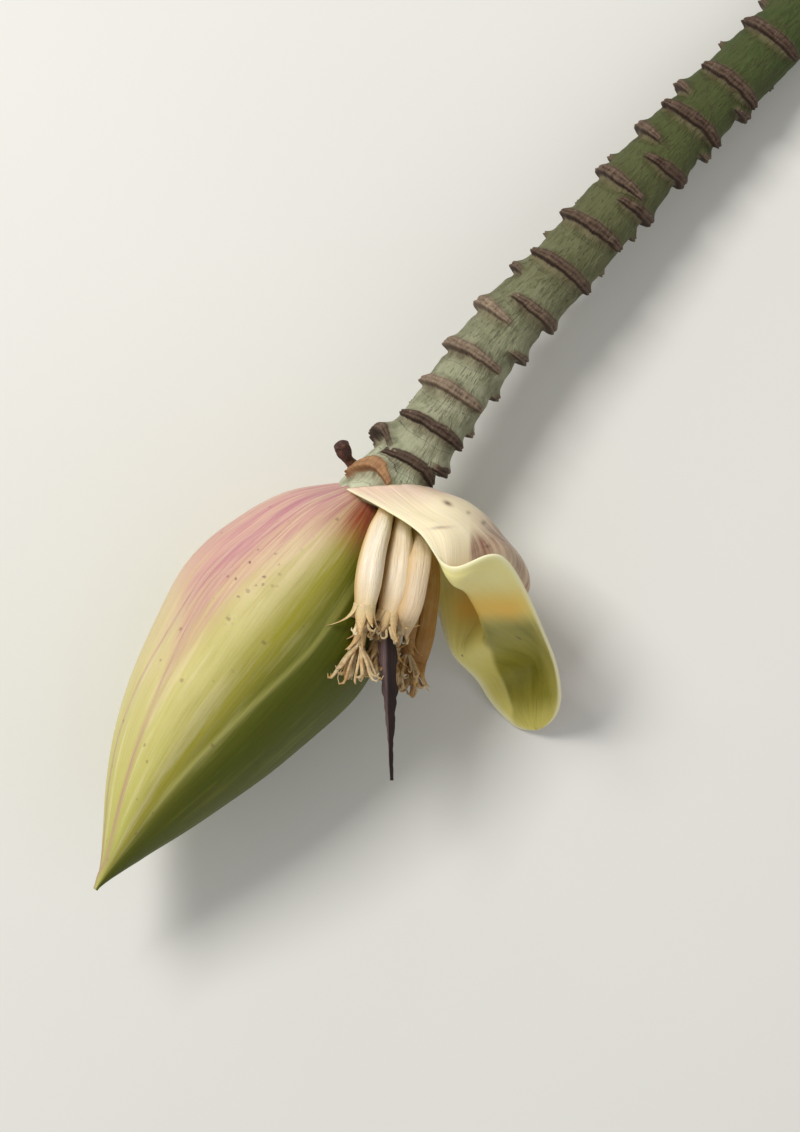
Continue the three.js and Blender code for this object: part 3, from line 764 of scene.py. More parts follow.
@dataclass
class LiftedBract(Part):
    """Bract that has opened: a hood over the flowers whose near margin turns outwards below it.

    The net has its outer face's rows from base to tip, each from the far margin to the near one. A mark
    has its place in plan, its length, its width, its turn in degrees and its depth.
    """

    names: ClassVar[tuple[str, str, str]] = ("lifted_bract_blade", "lifted_bract", "lifted_bract")
    net: tuple[tuple[Point, ...], ...] = (
        ((11, -4, 31), (15, -2.5, 38), (17.5, 0.5, 45), (10.5, 2, 54), (1, 1.8, 57), (-13.6, 0.7, 53)),
        ((15.8, -17.5, 31), (25.5, -9, 41), (30.5, -5, 57), (22.8, -4, 71), (11.5, -7, 77), (-1.5, -5.6, 74)),
        ((16.8, -29.4, 26), (34.8, -22.5, 33), (40.4, -15.2, 51), (34.2, -13.4, 72), (23.5, -15.5, 85),
         (11.2, -14, 86)),
        ((18.2, -40.6, 27), (37, -41, 29), (50.8, -34.5, 44), (42, -23.5, 69), (25, -31.5, 84),
         (22.8, -26.2, 90)),
        ((23.4, -56.5, 25), (29, -56.2, 27), (36, -53, 34), (34.6, -45, 55), (32.4, -35.8, 75),
         (41.3, -23.4, 89)),
        ((33.3, -68.6, 6), (42, -65, 3), (52, -61, 10), (55, -58.5, 22), (57.5, -56, 36), (58.5, -55.5, 50)),
        ((42, -88, 0.5), (47, -87, 0), (52, -85, 2), (56.5, -83.6, 6), (60.5, -82, 11), (64.2, -79.8, 17)),
    )
    thickness: float = 2.0
    tip_from: float = 0.84
    tip_centre: float = 0.5
    tip_rounding: tuple[float, float] = (2.6, 5.0)
    marks: tuple[tuple[float, float, float, float, float, float], ...] = (
        (21.8, -4.8, 1.6, 0.75, -28.0, 0.9), (19.2, -13.3, 3.6, 0.5, 4.0, 0.5),
        (34.3, -11.6, 0.7, 0.7, 0.0, 0.8), (35.6, -19.8, 0.7, 0.6, 0.0, 0.8),
        (29.0, -8.0, 0.6, 0.6, 0.0, 0.6))
    rows: int = 190
    columns: int = 170

    def face(self, lengthwise: Array, across: Array) -> Array:
        """Outer face before it has relief, rounded off at the tip.

        Args:
            lengthwise: Shares from base to tip.
            across: Shares from the far margin to the near one.

        Returns:
            Places as rows by columns by 3.
        """
        lines = np.stack([Route(line, Spacing.EVEN).by_knots(lengthwise)
                          for line in np.array(self.net, float).swapaxes(0, 1)], axis=1)
        narrowing = np.maximum(0.0, (lengthwise - self.tip_from) / (1.0 - self.tip_from))
        rounding = np.where(across < self.tip_centre, *self.tip_rounding)
        width = np.maximum(0.05, np.sqrt(np.maximum(0.0, 1.0 - narrowing[:, None] ** rounding[None, :])))
        drawn = self.tip_centre + (across - self.tip_centre)[None, :] * width
        return np.stack([Route(line, Spacing.EVEN, 8).by_knots(shares)
                         for line, shares in zip(lines, drawn)])

    def surface(self) -> Surface:
        """Both faces of the bract, with a rounded rim.

        Returns:
            The closed surface, with the values that the bract's finish reads.
        """
        lengthwise = 1.0 - (1.0 - np.linspace(0.0, 1.0, self.rows)) ** 1.35
        even = np.linspace(0.0, 1.0, self.columns)
        across = mix(even, 0.5 - 0.5 * np.cos(even * math.pi), 0.75)
        face = self.face(lengthwise, across)
        outward = np.cross(np.gradient(face, axis=1), np.gradient(face, axis=0))
        outward /= np.maximum(np.linalg.norm(outward, axis=2, keepdims=True), 1e-9)
        run = np.cumsum(np.linalg.norm(np.diff(face, axis=1, prepend=face[:, :1]), axis=2), axis=1)
        from_margin = np.minimum(run, run[:, -1:] - run)
        from_tip = np.linalg.norm(face - face[-1].mean(axis=0), axis=2)
        inward = np.minimum(from_margin, np.where(lengthwise[:, None] > 0.9, from_tip, 9.0))
        rounding = np.sqrt(np.clip(1.0 - (1.0 - np.clip(inward / 2.4, 0.0, 1.0)) ** 2, 0.0, 1.0))
        thick = 0.15 + (self.thickness - 0.4 - 0.5 * np.exp(-inward / 9.0)) * rounding
        grid = joined(across * 60.0, 0.0, lengthwise[:, None] * 110.0)
        veins = 0.1 * lattice(grid * (0.6, 1.0, 0.03), 41) + 0.35 * layered(grid * 0.05, 43)
        relief = veins * smoothstep(0.0, 5.0, inward)
        outer = face + outward * (relief - 0.3 * (self.thickness - thick))[..., None]
        x, y = face[..., 0], face[..., 1]
        values = {
            "place": grid,
            "along": np.broadcast_to(lengthwise[:, None], inward.shape),
            # Painted highlight along the margins, on both faces.
            "rim": bell(from_margin, 1.6),
            "inside": np.zeros(inward.shape),
            "brown_mauve": self.brown_mauve(x, y),
            "marked": self.marked(x, y),
            # Olive painted shade down the trough.
            "deep": self.deep(x, y),
            # Painted glow of light through the blade, in a band between the lit lip and the shaded trough.
            "painted_glow": bell(y + 40.5, 6.0) * smoothstep(20.0, 30.0, x) * smoothstep(54.0, 44.0, x),
            # Painted light on the upper lining, under the lip.
            "pale": smoothstep(-40.0, -30.0, y),
        }
        under = dict(values, inside=np.ones(inward.shape), place=grid + (0.0, 9.0, 0.0))
        return blade_surface(outer, outer - outward * thick[..., None], values, under)

    def brown_mauve(self, x: Array, y: Array) -> Array:
        """Brown-mauve on the outer face: a patch beside the lip and a band down the bulging side.

        Args:
            x: Places across the plan.
            y: Places up the plan.

        Returns:
            Its strength, from 0 to 1.
        """
        patch = np.exp(-(((x - 33.5) / 6.0) ** 2) - ((y + 21.0) / 6.5) ** 2) * smoothstep(28.8, 30.2, x)
        side = np.interp(y, (-40.0, -29.4, -18.2, -10.5, -4.0), (50.7, 49.0, 43.0, 36.5, 30.0))
        band = 0.8 * smoothstep(-8.0, 0.0, x - side) * smoothstep(-4.0, -16.0, y)
        return np.clip(1.25 * patch + band, 0.0, 1.0)

    def deep(self, x: Array, y: Array) -> Array:
        """Olive painted shade of the trough, from past the lip almost to the tip.

        Args:
            x: Places across the plan.
            y: Places up the plan.

        Returns:
            The strength of the painted shade, from 0 to 1.
        """
        left = np.interp(y, (-77.4, -69.0, -59.9, -49.4, -40.0), (45.4, 42.4, 38.5, 35.5, 33.0))
        right = np.interp(y, (-79.1, -72.1, -59.9, -50.4, -40.6), (62.3, 62.0, 58.5, 55.0, 50.8))
        share = (x - left) / (right - left)
        wide = smoothstep(-0.06, 0.06, share) * (1.0 - 0.3 * smoothstep(0.85, 1.05, share))
        return wide * smoothstep(-40.0, -47.5, y) * (1.0 - 0.55 * smoothstep(-70.0, -86.0, y))

    def marked(self, x: Array, y: Array) -> Array:
        """A few dark scratches and dots on the outer face.

        Args:
            x: Places across the plan.
            y: Places up the plan.

        Returns:
            The darkness of the marks, from 0 to 1.
        """
        total = np.zeros(x.shape)
        for across, along, length, width, degrees, depth in self.marks:
            cosine, sine = math.cos(math.radians(degrees)), math.sin(math.radians(degrees))
            down = (x - across) * cosine + (y - along) * sine
            off = (y - along) * cosine - (x - across) * sine
            total = np.maximum(total, depth * bell(down, length) * bell(off, width))
        return total


@dataclass
class Cushion(Part):
    """Knobbly pad that the flowers stand on."""

    names: ClassVar[tuple[str, str, str]] = ("flower_cushion_pad", "cushion", "flower_cushion")
    half_size: Point = (9.0, 4.0, 6.0)
    centre: Point = (8.6, -5.0, 50.5)
    turn: float = math.radians(-42.0)
    rows: int = 48
    sides: int = 72

    def surface(self) -> Surface:
        """Pad with a socket-like knob for each flower.

        Returns:
            The pad's surface.
        """
        polar = np.linspace(0.04, math.pi - 0.04, self.rows)[:, None]
        around = turns(self.sides)
        ball = joined(np.sin(polar) * np.cos(around), np.sin(polar) * np.sin(around), np.cos(polar))
        place = ball * self.half_size
        knobs = np.cos(place[..., 0] * 1.35) * np.cos(place[..., 2] * 1.2)
        place = place * (1.0 + 0.05 * knobs + 0.04 * layered(place * 0.5, 17))[..., None]
        x, y, z = np.moveaxis(place, -1, 0)
        cosine, sine = math.cos(self.turn), math.sin(self.turn)
        spun = joined(x * cosine - y * sine, x * sine + y * cosine, z)
        return tube_surface(spun + self.centre, {"place": place})


@dataclass(frozen=True)
class Laying:
    """How one flower is laid: its plan, its size, how far it has ripened and how tidy its ends are."""

    plan: tuple[tuple[float, float], ...]
    radius: float
    level: float
    ripeness: float
    stamens: int
    unruly: float = 1.0
    flung: float = 0.0
    broad: float = 1.1


@dataclass
class MaleFlower:
    """Male flower: a ribbed tube with split, curling lobes and stamens that stand out of its mouth."""

    route: Route
    seed: int
    laying: Laying
    lobe_length: float = 9.0
    lobes: int = 5
    once_round: float = 6.28
    apart: float = 13.0
    tube_rows: int = 56
    tube_sides: int = 40
    lobe_rows: int = 16
    lobe_columns: int = 6
    stamen_sides: int = 7
    mouth_shares: tuple[float, ...] = (1.0, 0.985, 0.95, 0.9, 0.85)
    mouth_scales: tuple[float, ...] = (0.93, 0.84, 0.76, 0.68, 0.5)
    stamen_radii: tuple[float, ...] = (
        0.34, 0.34, 0.36, 0.42, 0.56, 0.64, 0.6, 0.66, 0.58, 0.62, 0.55, 0.5, 0.34, 0.14)

    def __post_init__(self) -> None:
        """Seed the flower's own random numbers and take its size."""
        self.chance = np.random.default_rng(500 + self.seed)
        self.radius = self.laying.radius

    def radius_at(self, shares: Array) -> Array:
        """Radius of the tube at shares of its length."""
        swell = mix(0.66, 1.0, smoothstep(0.0, 0.3, shares))
        return self.radius * (swell - 0.2 * smoothstep(0.72, 1.0, shares))

    def frame(self, shares: Array) -> tuple[Array, Array, Array]:
        """Middle line, sideways way and upward way.

        Args:
            shares: Shares of the tube's length.

        Returns:
            Three lists with a row for each share.
        """
        ahead = self.route.heading(shares)
        side = unit(np.cross(ahead, UP))
        return self.route.at(shares), side, np.cross(side, ahead)

    def values(self, places: Array, along: Array | float, part: float) -> dict[str, Array]:
        """Values that the flower's finish reads.

        Args:
            places: Where its noise is read.
            along: Shares of the tube's length, with more than 1 past its mouth.
            part: 0 for the tube, 1 for a lobe and 2 for a stamen.

        Returns:
            The values by name.
        """
        count = places.shape[:-1]
        return {
            "along": np.broadcast_to(along, count).astype(float),
            "ripeness": np.full(count, self.laying.ripeness),
            "part": np.full(count, part),
            "painted_light_side": np.full(count, 0.6),
            "place": places,
        }

    def tube(self) -> Surface:
        """Ribbed tube with an open mouth.

        Returns:
            The tube's surface.
        """
        shares = np.concatenate([np.linspace(0.0, 1.0, self.tube_rows), self.mouth_shares])
        inward = np.concatenate([np.ones(self.tube_rows), self.mouth_scales])
        angles = turns(self.tube_sides)
        middle, side, up = self.frame(shares)
        turn = self.chance.uniform(0.0, self.once_round)
        ribs = 0.035 * np.cos(5.0 * angles + turn) + 0.01 * np.cos(11.0 * angles - turn)
        seam = -0.07 * bell(wrapped(angles - 1.45), 0.2)
        swell = 1.0 + 0.05 * np.sin(shares * 9.0 + turn)
        section = (1.0 + (ribs + seam)[None, :] * smoothstep(0.05, 0.4, shares)[:, None]) * swell[:, None]
        radius = (self.radius_at(shares) * inward)[:, None] * section
        broad = mix(1.0, self.laying.broad, smoothstep(0.1, 0.5, shares))[:, None]
        rings = middle[:, None] + circled(side * broad, up, angles) * radius[..., None]
        along = shares[:, None]
        place = joined(np.cos(angles) * 4.0, np.sin(angles) * 4.0, along * self.route.length)
        place[..., 0] += self.seed * self.apart
        values = self.values(place, along, 0.0)
        # Painted light: ivory on one upper side of each tube, fading to the tan of the rest, which stands for
        # shade.
        values["painted_light_side"] = np.broadcast_to(smoothstep(-0.5, 0.8, np.cos(angles - 2.2)), radius.shape)
        return tube_surface(rings, values)

    def lobe(self, angle: float) -> Surface:
        """One lobe of the mouth, a thin strip that curls outwards from the tube's rim.

        Args:
            angle: Where it stands round the rim, in radians.

        Returns:
            The lobe's surface.
        """
        middle, side, up = self.frame(np.array([0.9, 1.0]))
        ahead = self.route.heading(np.array([1.0]))[0]
        broad = self.laying.broad
        rim, out = side * math.cos(angle) * broad + up * math.sin(angle)
        out = unit(out)
        across = np.cross(ahead, out)
        share = np.linspace(0.0, 1.0, self.lobe_rows)[:, None]
        length = self.lobe_length * self.chance.uniform(0.7, 1.3) * (self.radius / 3.4) ** 0.5
        flare = self.chance.uniform(0.0, 3.0) + 6.5 * self.chance.uniform(0.0, 1.0) ** 2
        flare = flare + self.laying.flung * max(0.0, -float(out[0]) - 0.3)
        sway = self.chance.uniform(-2.4, 2.4) * self.laying.unruly
        root = middle[0] + rim * (self.radius_at(np.array([0.9]))[0] * 0.95)
        path = root + ahead * (length * (share - 0.18 * share**2)) + out * (flare * share**2.2)
        path = path + across * (sway * share**2)
        width = 0.7 * self.radius * (1.0 - share**1.3) + 0.16
        columns = np.linspace(-1.0, 1.0, self.lobe_columns)
        face = path[:, None] + across * (columns * width)[..., None]
        face = face - out * (0.45 * width * columns**2)[..., None]
        half = (mix(0.34, 0.16, share) * np.sqrt(1.0 - 0.85 * columns**2))[..., None] * out
        values = self.values(face + self.seed * self.apart, 0.9 + 0.35 * share, 1.0)
        return blade_surface(face + half, face - half, values)

    def stamen(self, index: int) -> Surface:
        """One stamen: a thin thread that ends in a longer, bent anther.

        Args:
            index: Its number in the flower.

        Returns:
            The stamen's surface.
        """
        middle, side, up = self.frame(np.array([0.92, 1.0]))
        ahead = self.route.heading(np.array([1.0]))[0]
        angle = self.once_round * index / self.laying.stamens + self.chance.uniform(-0.5, 0.5)
        out = side[1] * math.cos(angle) + up[1] * math.sin(angle)
        unruly = self.laying.unruly
        reach = self.chance.uniform(3.0, 8.0) * mix(0.85, 1.75, unruly - 1.0)
        spread = self.chance.uniform(0.2, 3.4) * unruly
        bend = self.chance.uniform(-2.2, 2.2, 3) * unruly
        across = np.cross(ahead, out)
        root = middle[0] + out * 0.9
        mouth = middle[1] + out * 1.3
        elbow = mouth + ahead * reach * 0.45 + out * spread * 0.5 + across * bend[0] * 0.5
        end = mouth + ahead * reach + out * spread + across * bend[0] + UP * bend[1] * 0.5
        turn = math.copysign(self.chance.uniform(1.0, 1.9), bend[1])
        hook = end + across * turn + ahead * 0.5 + out * 0.4 * bend[2]
        curl = hook + across * turn * 0.35 - ahead * abs(turn) * 0.9
        route = Route(np.array([root, mouth, elbow, end, hook, curl]), Spacing.CENTRIPETAL, 80)
        radii = np.array(self.stamen_radii) * self.chance.uniform(0.75, 1.2)
        rod = round_rod(route, radii, self.stamen_sides)
        along = 1.15 + self.chance.uniform(0.0, 0.3)
        rod.values = self.values(rod.places + self.seed * self.apart, along, 2.0)
        return rod

    def surface(self) -> Surface:
        """The whole flower.

        Returns:
            The tube with its lobes and stamens.
        """
        whole = self.tube()
        offset = self.chance.uniform(0.0, self.once_round)
        for k in range(self.lobes):
            astray = self.chance.uniform(-0.25, 0.25)
            whole = whole + self.lobe(offset + k * self.once_round / self.lobes + astray)
        for k in range(self.laying.stamens):
            whole = whole + self.stamen(k)
        return whole


@dataclass
class Hand:
    """Male flowers, each laid on the bud and on the flowers under it."""

    bud: Bud
    layings: tuple[Laying, ...] = (
        Laying(((13.6, -13.5), (15.6, -31), (14, -48), (9.8, -65)), 3.6, 42.0, 1.0, 12),
        Laying(((2.2, -8), (-4.4, -33), (-9.2, -54)), 2.2, 55.0, 0.5, 24, unruly=2.0),
        Laying(((5, -9.3), (0.6, -34.5), (-3.6, -57.5)), 2.2, 53.0, 0.55, 24),
        Laying(((7.8, -10.7), (5.6, -35.5), (2.2, -59.5)), 2.2, 50.0, 0.7, 20, unruly=1.2),
        Laying(((10.6, -12.1), (10.6, -35.5), (7.6, -57.5)), 2.2, 46.0, 0.9, 16, unruly=1.3),
        Laying(((0.8, -6.4), (-3.9, -21.4), (-7.5, -44)), 4.1, 57.0, 0.0, 8, flung=8.0),
        Laying(((6.4, -8), (5.2, -23), (3.4, -35), (0.2, -46.2)), 3.7, 55.0, 0.16, 7, broad=1.28),
        Laying(((11, -10.8), (12.2, -21.5), (11, -32), (9.2, -40), (5.6, -48.6)), 3.1, 52.0, 0.36, 7,
               broad=1.36),
    )
    stations: int = 24
    ease: int = 2
    seat_gap: float = 0.3

    def bud_top(self, place: Array) -> tuple[float, float, float]:
        """The bud under a place.

        Args:
            place: The place in plan.

        Returns:
            Height of the bud's middle line, how far beside it the place lies, and the bud's radius there.
        """
        shares = np.linspace(0.0, 1.0, 81)
        line = self.bud.axis.at(shares)
        gaps = np.hypot(line[:, 0] - place[0], line[:, 1] - place[1])
        nearest = int(np.argmin(gaps))
        radius = float(self.bud.radius_at(shares[nearest])) + 0.5 * self.bud.top_lift
        return float(line[nearest, 2]), float(gaps[nearest]), radius

    def resting_height(self, place: Array, radius: float, laid: list[tuple[Array, Array]],
                       level: float) -> float:
        """Lowest height at which a tube clears what is under it.

        Args:
            place: Its place in plan.
            radius: Its radius there.
            laid: Places and radii of the tubes laid before it.
            level: Least height.

        Returns:
            The height of its middle line.
        """
        centre, gap, bud_radius = self.bud_top(place)
        reach = bud_radius + radius + 2.0 * self.seat_gap
        height = level
        if gap < reach:
            height = max(height, centre + math.sqrt(reach**2 - gap**2))
        for places, radii in laid:
            need = radii + radius + self.seat_gap
            gaps = np.hypot(places[:, 0] - place[0], places[:, 1] - place[1])
            under = gaps < need
            if under.any():
                tops = places[under, 2] + np.sqrt(need[under] ** 2 - gaps[under] ** 2)
                height = max(height, float(np.max(tops)))
        return height

    def laid_tube(self, laying: Laying, laid: list[tuple[Array, Array]]) -> tuple[Array, Array]:
        """One tube, with its bends eased and no height lost.

        Args:
            laying: How it is laid.
            laid: Places and radii of the tubes laid before it.

        Returns:
            Its places and radii.
        """
        shares = np.linspace(0.0, 1.0, self.stations + 1)
        places = Route(np.array([(x, y, 0.0) for x, y in laying.plan])).at(shares)
        swell = mix(0.42, 1.0, smoothstep(0.0, 0.4, shares))
        radii = laying.radius * (swell - 0.22 * smoothstep(0.75, 1.0, shares))
        resting = [self.resting_height(place, radius, laid, laying.level)
                   for place, radius in zip(places, radii)]
        windows = [slice(max(0, i - self.ease), i + self.ease + 1) for i in range(len(resting))]
        raised = [max(resting[window]) for window in windows]
        places[:, 2] = [float(np.mean(raised[window])) for window in windows]
        return places, radii

    def build(self, dresser: Dresser, finish: "Skin") -> None:
        """Make a piece for each flower, in the order that they are laid.

        Args:
            dresser: What makes the pieces.
            finish: The flowers' finish.
        """
        laid: list[tuple[Array, Array]] = []
        for number, laying in enumerate(self.layings, start=1):
            laid.append(self.laid_tube(laying, laid))
            flower = MaleFlower(Route(laid[-1][0]), number, laying)
            dresser.piece(f"flower_{number:02d}_tube", flower.surface(), finish, "flower_tube",
                          f"flower_{number:02d}")


@dataclass
class WitheredStrip(Part):
    """Dry strip that hangs from the hand, folded along its length and torn at its top."""

    names: ClassVar[tuple[str, str, str]] = ("withered_strip_blade", "withered", "withered_strip")
    points: tuple[Point, ...] = (
        (0.0, -54.5, 67.4), (0.6, -66.0, 61.8), (1.2, -82.0, 54.8), (2.1, -101.5, 46.0))
    rows: int = 110
    columns: int = 20

    def surface(self) -> Surface:
        """Folded, crinkled blade.

        Returns:
            The strip's surface.
        """
        share = np.linspace(0.0, 1.0, self.rows)
        across = np.linspace(-1.0, 1.0, self.columns)
        half = mix(3.2, 0.8, smoothstep(0.12, 0.95, share)) * (1.0 + 0.08 * np.sin(share * 23.0))
        half = half[:, None]
        twist = np.radians(mix(15.0, 60.0, share))
        side = joined(np.cos(twist), 0.0, np.sin(twist))[:, None]
        deep = joined(-np.sin(twist), 0.0, np.cos(twist))[:, None]
        grid = joined(across * 3.0, 0.0, share[:, None] * 16.0)
        prong = 6.0 * smoothstep(0.05, 0.45, across) + 1.5 + 2.0 * lattice(grid * (1.6, 1.0, 0.1), 77)
        fold = 0.605 * np.abs(across) ** 1.5 * half
        crinkle = 0.28 * layered(grid * (0.8, 1.0, 0.5), 71)
        edges = joined(np.sign(across) * 9.0, 0.0, share[:, None] * 26.0)
        ragged = 1.0 + 0.16 * lattice(edges, 91) * np.abs(across)
        middle = Route(np.array(self.points)).at(share)[:, None]
        middle = middle + side * (across * half * ragged)[..., None] - deep * (fold + crinkle)[..., None]
        middle[..., 1] += smoothstep(0.16, 0.0, share)[:, None] * prong
        thick = (0.34 * np.sqrt(1.0 - 0.8 * across**2))[:, None] * deep
        values = {"place": grid, "across": np.broadcast_to(across, crinkle.shape)}
        return blade_surface(middle + thick, middle - thick, values)


@dataclass
class NeckStub(Part):
    """Brown knob on a short stem that stands out of the pedestal."""

    names: ClassVar[tuple[str, str, str]] = ("neck_stub_knob", "stub", "neck_stub")
    points: tuple[Point, ...] = ((-10.2, 7.6, 42.5), (-13.4, 11.4, 46.8), (-15.7, 16.6, 50.0))
    rows: int = 60
    sides: int = 36

    def surface(self) -> Surface:
        """Wrinkled rod with a thicker end.

        Returns:
            The stub's surface.
        """
        route = Route(np.array(self.points))
        share = np.linspace(0.0, 1.0, self.rows)
        radii = 0.5 * smoothstep(0.35, 0.0, share) + mix(1.8, 2.75, smoothstep(0.4, 0.7, share))
        rod = round_rod(route, radii * np.sqrt(np.clip((1.02 - share) / 0.1, 0.05, 1.0)), self.sides)
        wrinkle = layered(rod.places * 0.9, 83)
        ways = rod.places - route.at(np.linspace(0.0, 1.0, len(rod.places)))
        rod.places = rod.places + 0.07 * ways * wrinkle[:, None]
        foot, top = route.at(np.array([0.0, 1.0]))
        along = (rod.places - foot) @ (top - foot) / np.sum((top - foot) ** 2)
        rod.values = {"place": rod.places, "along": along}
        return rod


# Building finishes out of nodes

def paint(red: float, green: float, blue: float) -> Paint:
    """Linear colour from a colour of 0 to 255 as a screen shows it.

    Args:
        red: Red part.
        green: Green part.
        blue: Blue part.

    Returns:
        The colour with an alpha of 1.
    """
    shares = [value / 255.0 for value in (red, green, blue)]
    lit = [share / 12.92 if share <= 0.04045 else ((share + 0.055) / 1.055) ** 2.4 for share in shares]
    return (*lit, 1.0)


Socket = bpy.types.NodeSocket
Feed = Socket | float | tuple[float, ...]
Dressing = tuple[Socket, Socket, Socket]


class Tree:
    """Node tree under construction, with short ways to add nodes and join them."""

    def __init__(self, nodes: bpy.types.NodeTree) -> None:
        """Start on an existing node tree."""
        self.nodes = nodes

    def add(self, kind: str, *feeds: Feed, **settings: object) -> bpy.types.Node:
        """Add a node, set its options and feed its first inputs.

        Args:
            kind: Type of the node.
            feeds: What goes into its inputs, in their order.
            settings: Its options by name.

        Returns:
            The node.
        """
        node = self.nodes.nodes.new(kind)
        for name, value in settings.items():
            setattr(node, name, value)
        for socket, value in zip(node.inputs, feeds):
            self.feed(socket, value)
        return node

    def feed(self, socket: Socket, value: Feed) -> None:
        """Join a socket to another one, or set it to a plain value.

        Args:
            socket: The socket to feed.
            value: Another socket, a number or a colour.
        """
        if isinstance(value, bpy.types.NodeSocket):
            self.nodes.links.new(value, socket)
        else:
            socket.default_value = value

    def feed_named(self, node: bpy.types.Node, feeds: dict[str, Feed]) -> None:
        """Feed a node's inputs by their names."""
        for name, value in feeds.items():
            self.feed(node.inputs[name], value)

    def carried(self, name: str, vector: bool = False) -> Socket:
        """Value or vector that the mesh carries under a name."""
        return self.add("ShaderNodeAttribute", attribute_name=name).outputs["Vector" if vector else "Fac"]

    def maths(self, operation: str, *numbers: Feed, clamp: bool = False) -> Socket:
        """Result of a sum on numbers."""
        return self.add("ShaderNodeMath", *numbers, operation=operation, use_clamp=clamp).outputs[0]

    def times(self, first: Feed, second: Feed) -> Socket:
        """Product of two numbers."""
        return self.maths("MULTIPLY", first, second)

    def total(self, *parts: tuple[Feed, float], start: Feed = 0.0) -> Feed:
        """Sum of values that are each weighted.

        Args:
            parts: Each value with its weight.
            start: Number that they are added to.

        Returns:
            The sum.
        """
        for value, weight in parts:
            start = self.maths("MULTIPLY_ADD", value, weight, start)
        return start

    def span(self, value: Feed, low: float, high: float, start: float = 0.0, end: float = 1.0) -> Socket:
        """Value carried from low..high to start..end, eased at both ends."""
        node = self.add("ShaderNodeMapRange", value, low, high, start, end, interpolation_type="SMOOTHSTEP")
        return node.outputs[0]

    def ridge(self, value: Feed, middle: float, width: float) -> Socket:
        """Band of 1 round a middle value that falls to 0 at a width on either side."""
        return self.span(self.maths("ABSOLUTE", self.maths("SUBTRACT", value, middle)), width, 0.0)

    def blend(self, share: Feed, first: Feed, second: Feed) -> Socket:
        """Colour mixed from two.

        Args:
            share: Share of the second.
            first: First colour.
            second: Second colour.

        Returns:
            The mixed colour.
        """
        node = self.add("ShaderNodeMix", share, data_type="RGBA", clamp_factor=True)
        self.feed(node.inputs[6], first)
        self.feed(node.inputs[7], second)
        return node.outputs[2]

    def coats(self, colour: Feed, *layers: tuple[Feed, float, Feed]) -> Feed:
        """Lay colours over one another.

        Args:
            colour: The lowest colour.
            layers: For each coat its share over the surface, its strength and its colour.

        Returns:
            The colour with all coats on.
        """
        for share, strength, over in layers:
            colour = self.blend(self.times(share, strength), colour, over)
        return colour

    def noise(self, place: Feed, scale: float, detail: float, roughness: float = 0.5) -> Socket:
        """Plain noise.

        Args:
            place: Where it is read.
            scale: How fine it is.
            detail: How many finer layers it has.
            roughness: How strong they are.

        Returns:
            Values round a half.
        """
        node = self.add("ShaderNodeTexNoise")
        self.feed_named(node, {"Vector": place, "Scale": scale, "Detail": detail, "Roughness": roughness})
        return node.outputs["Fac"]

    def stretched(self, place: Feed, factors: Feed) -> Socket:
        """Place with each of its parts scaled."""
        return self.add("ShaderNodeVectorMath", place, factors, operation="MULTIPLY").outputs[0]


class Effect(Enum):
    """Effects that more than one finish uses, each a node group."""

    STREAKS = "Lengthwise streaks"
    MOTTLE = "Mottle"
    SPECKS = "Specks"


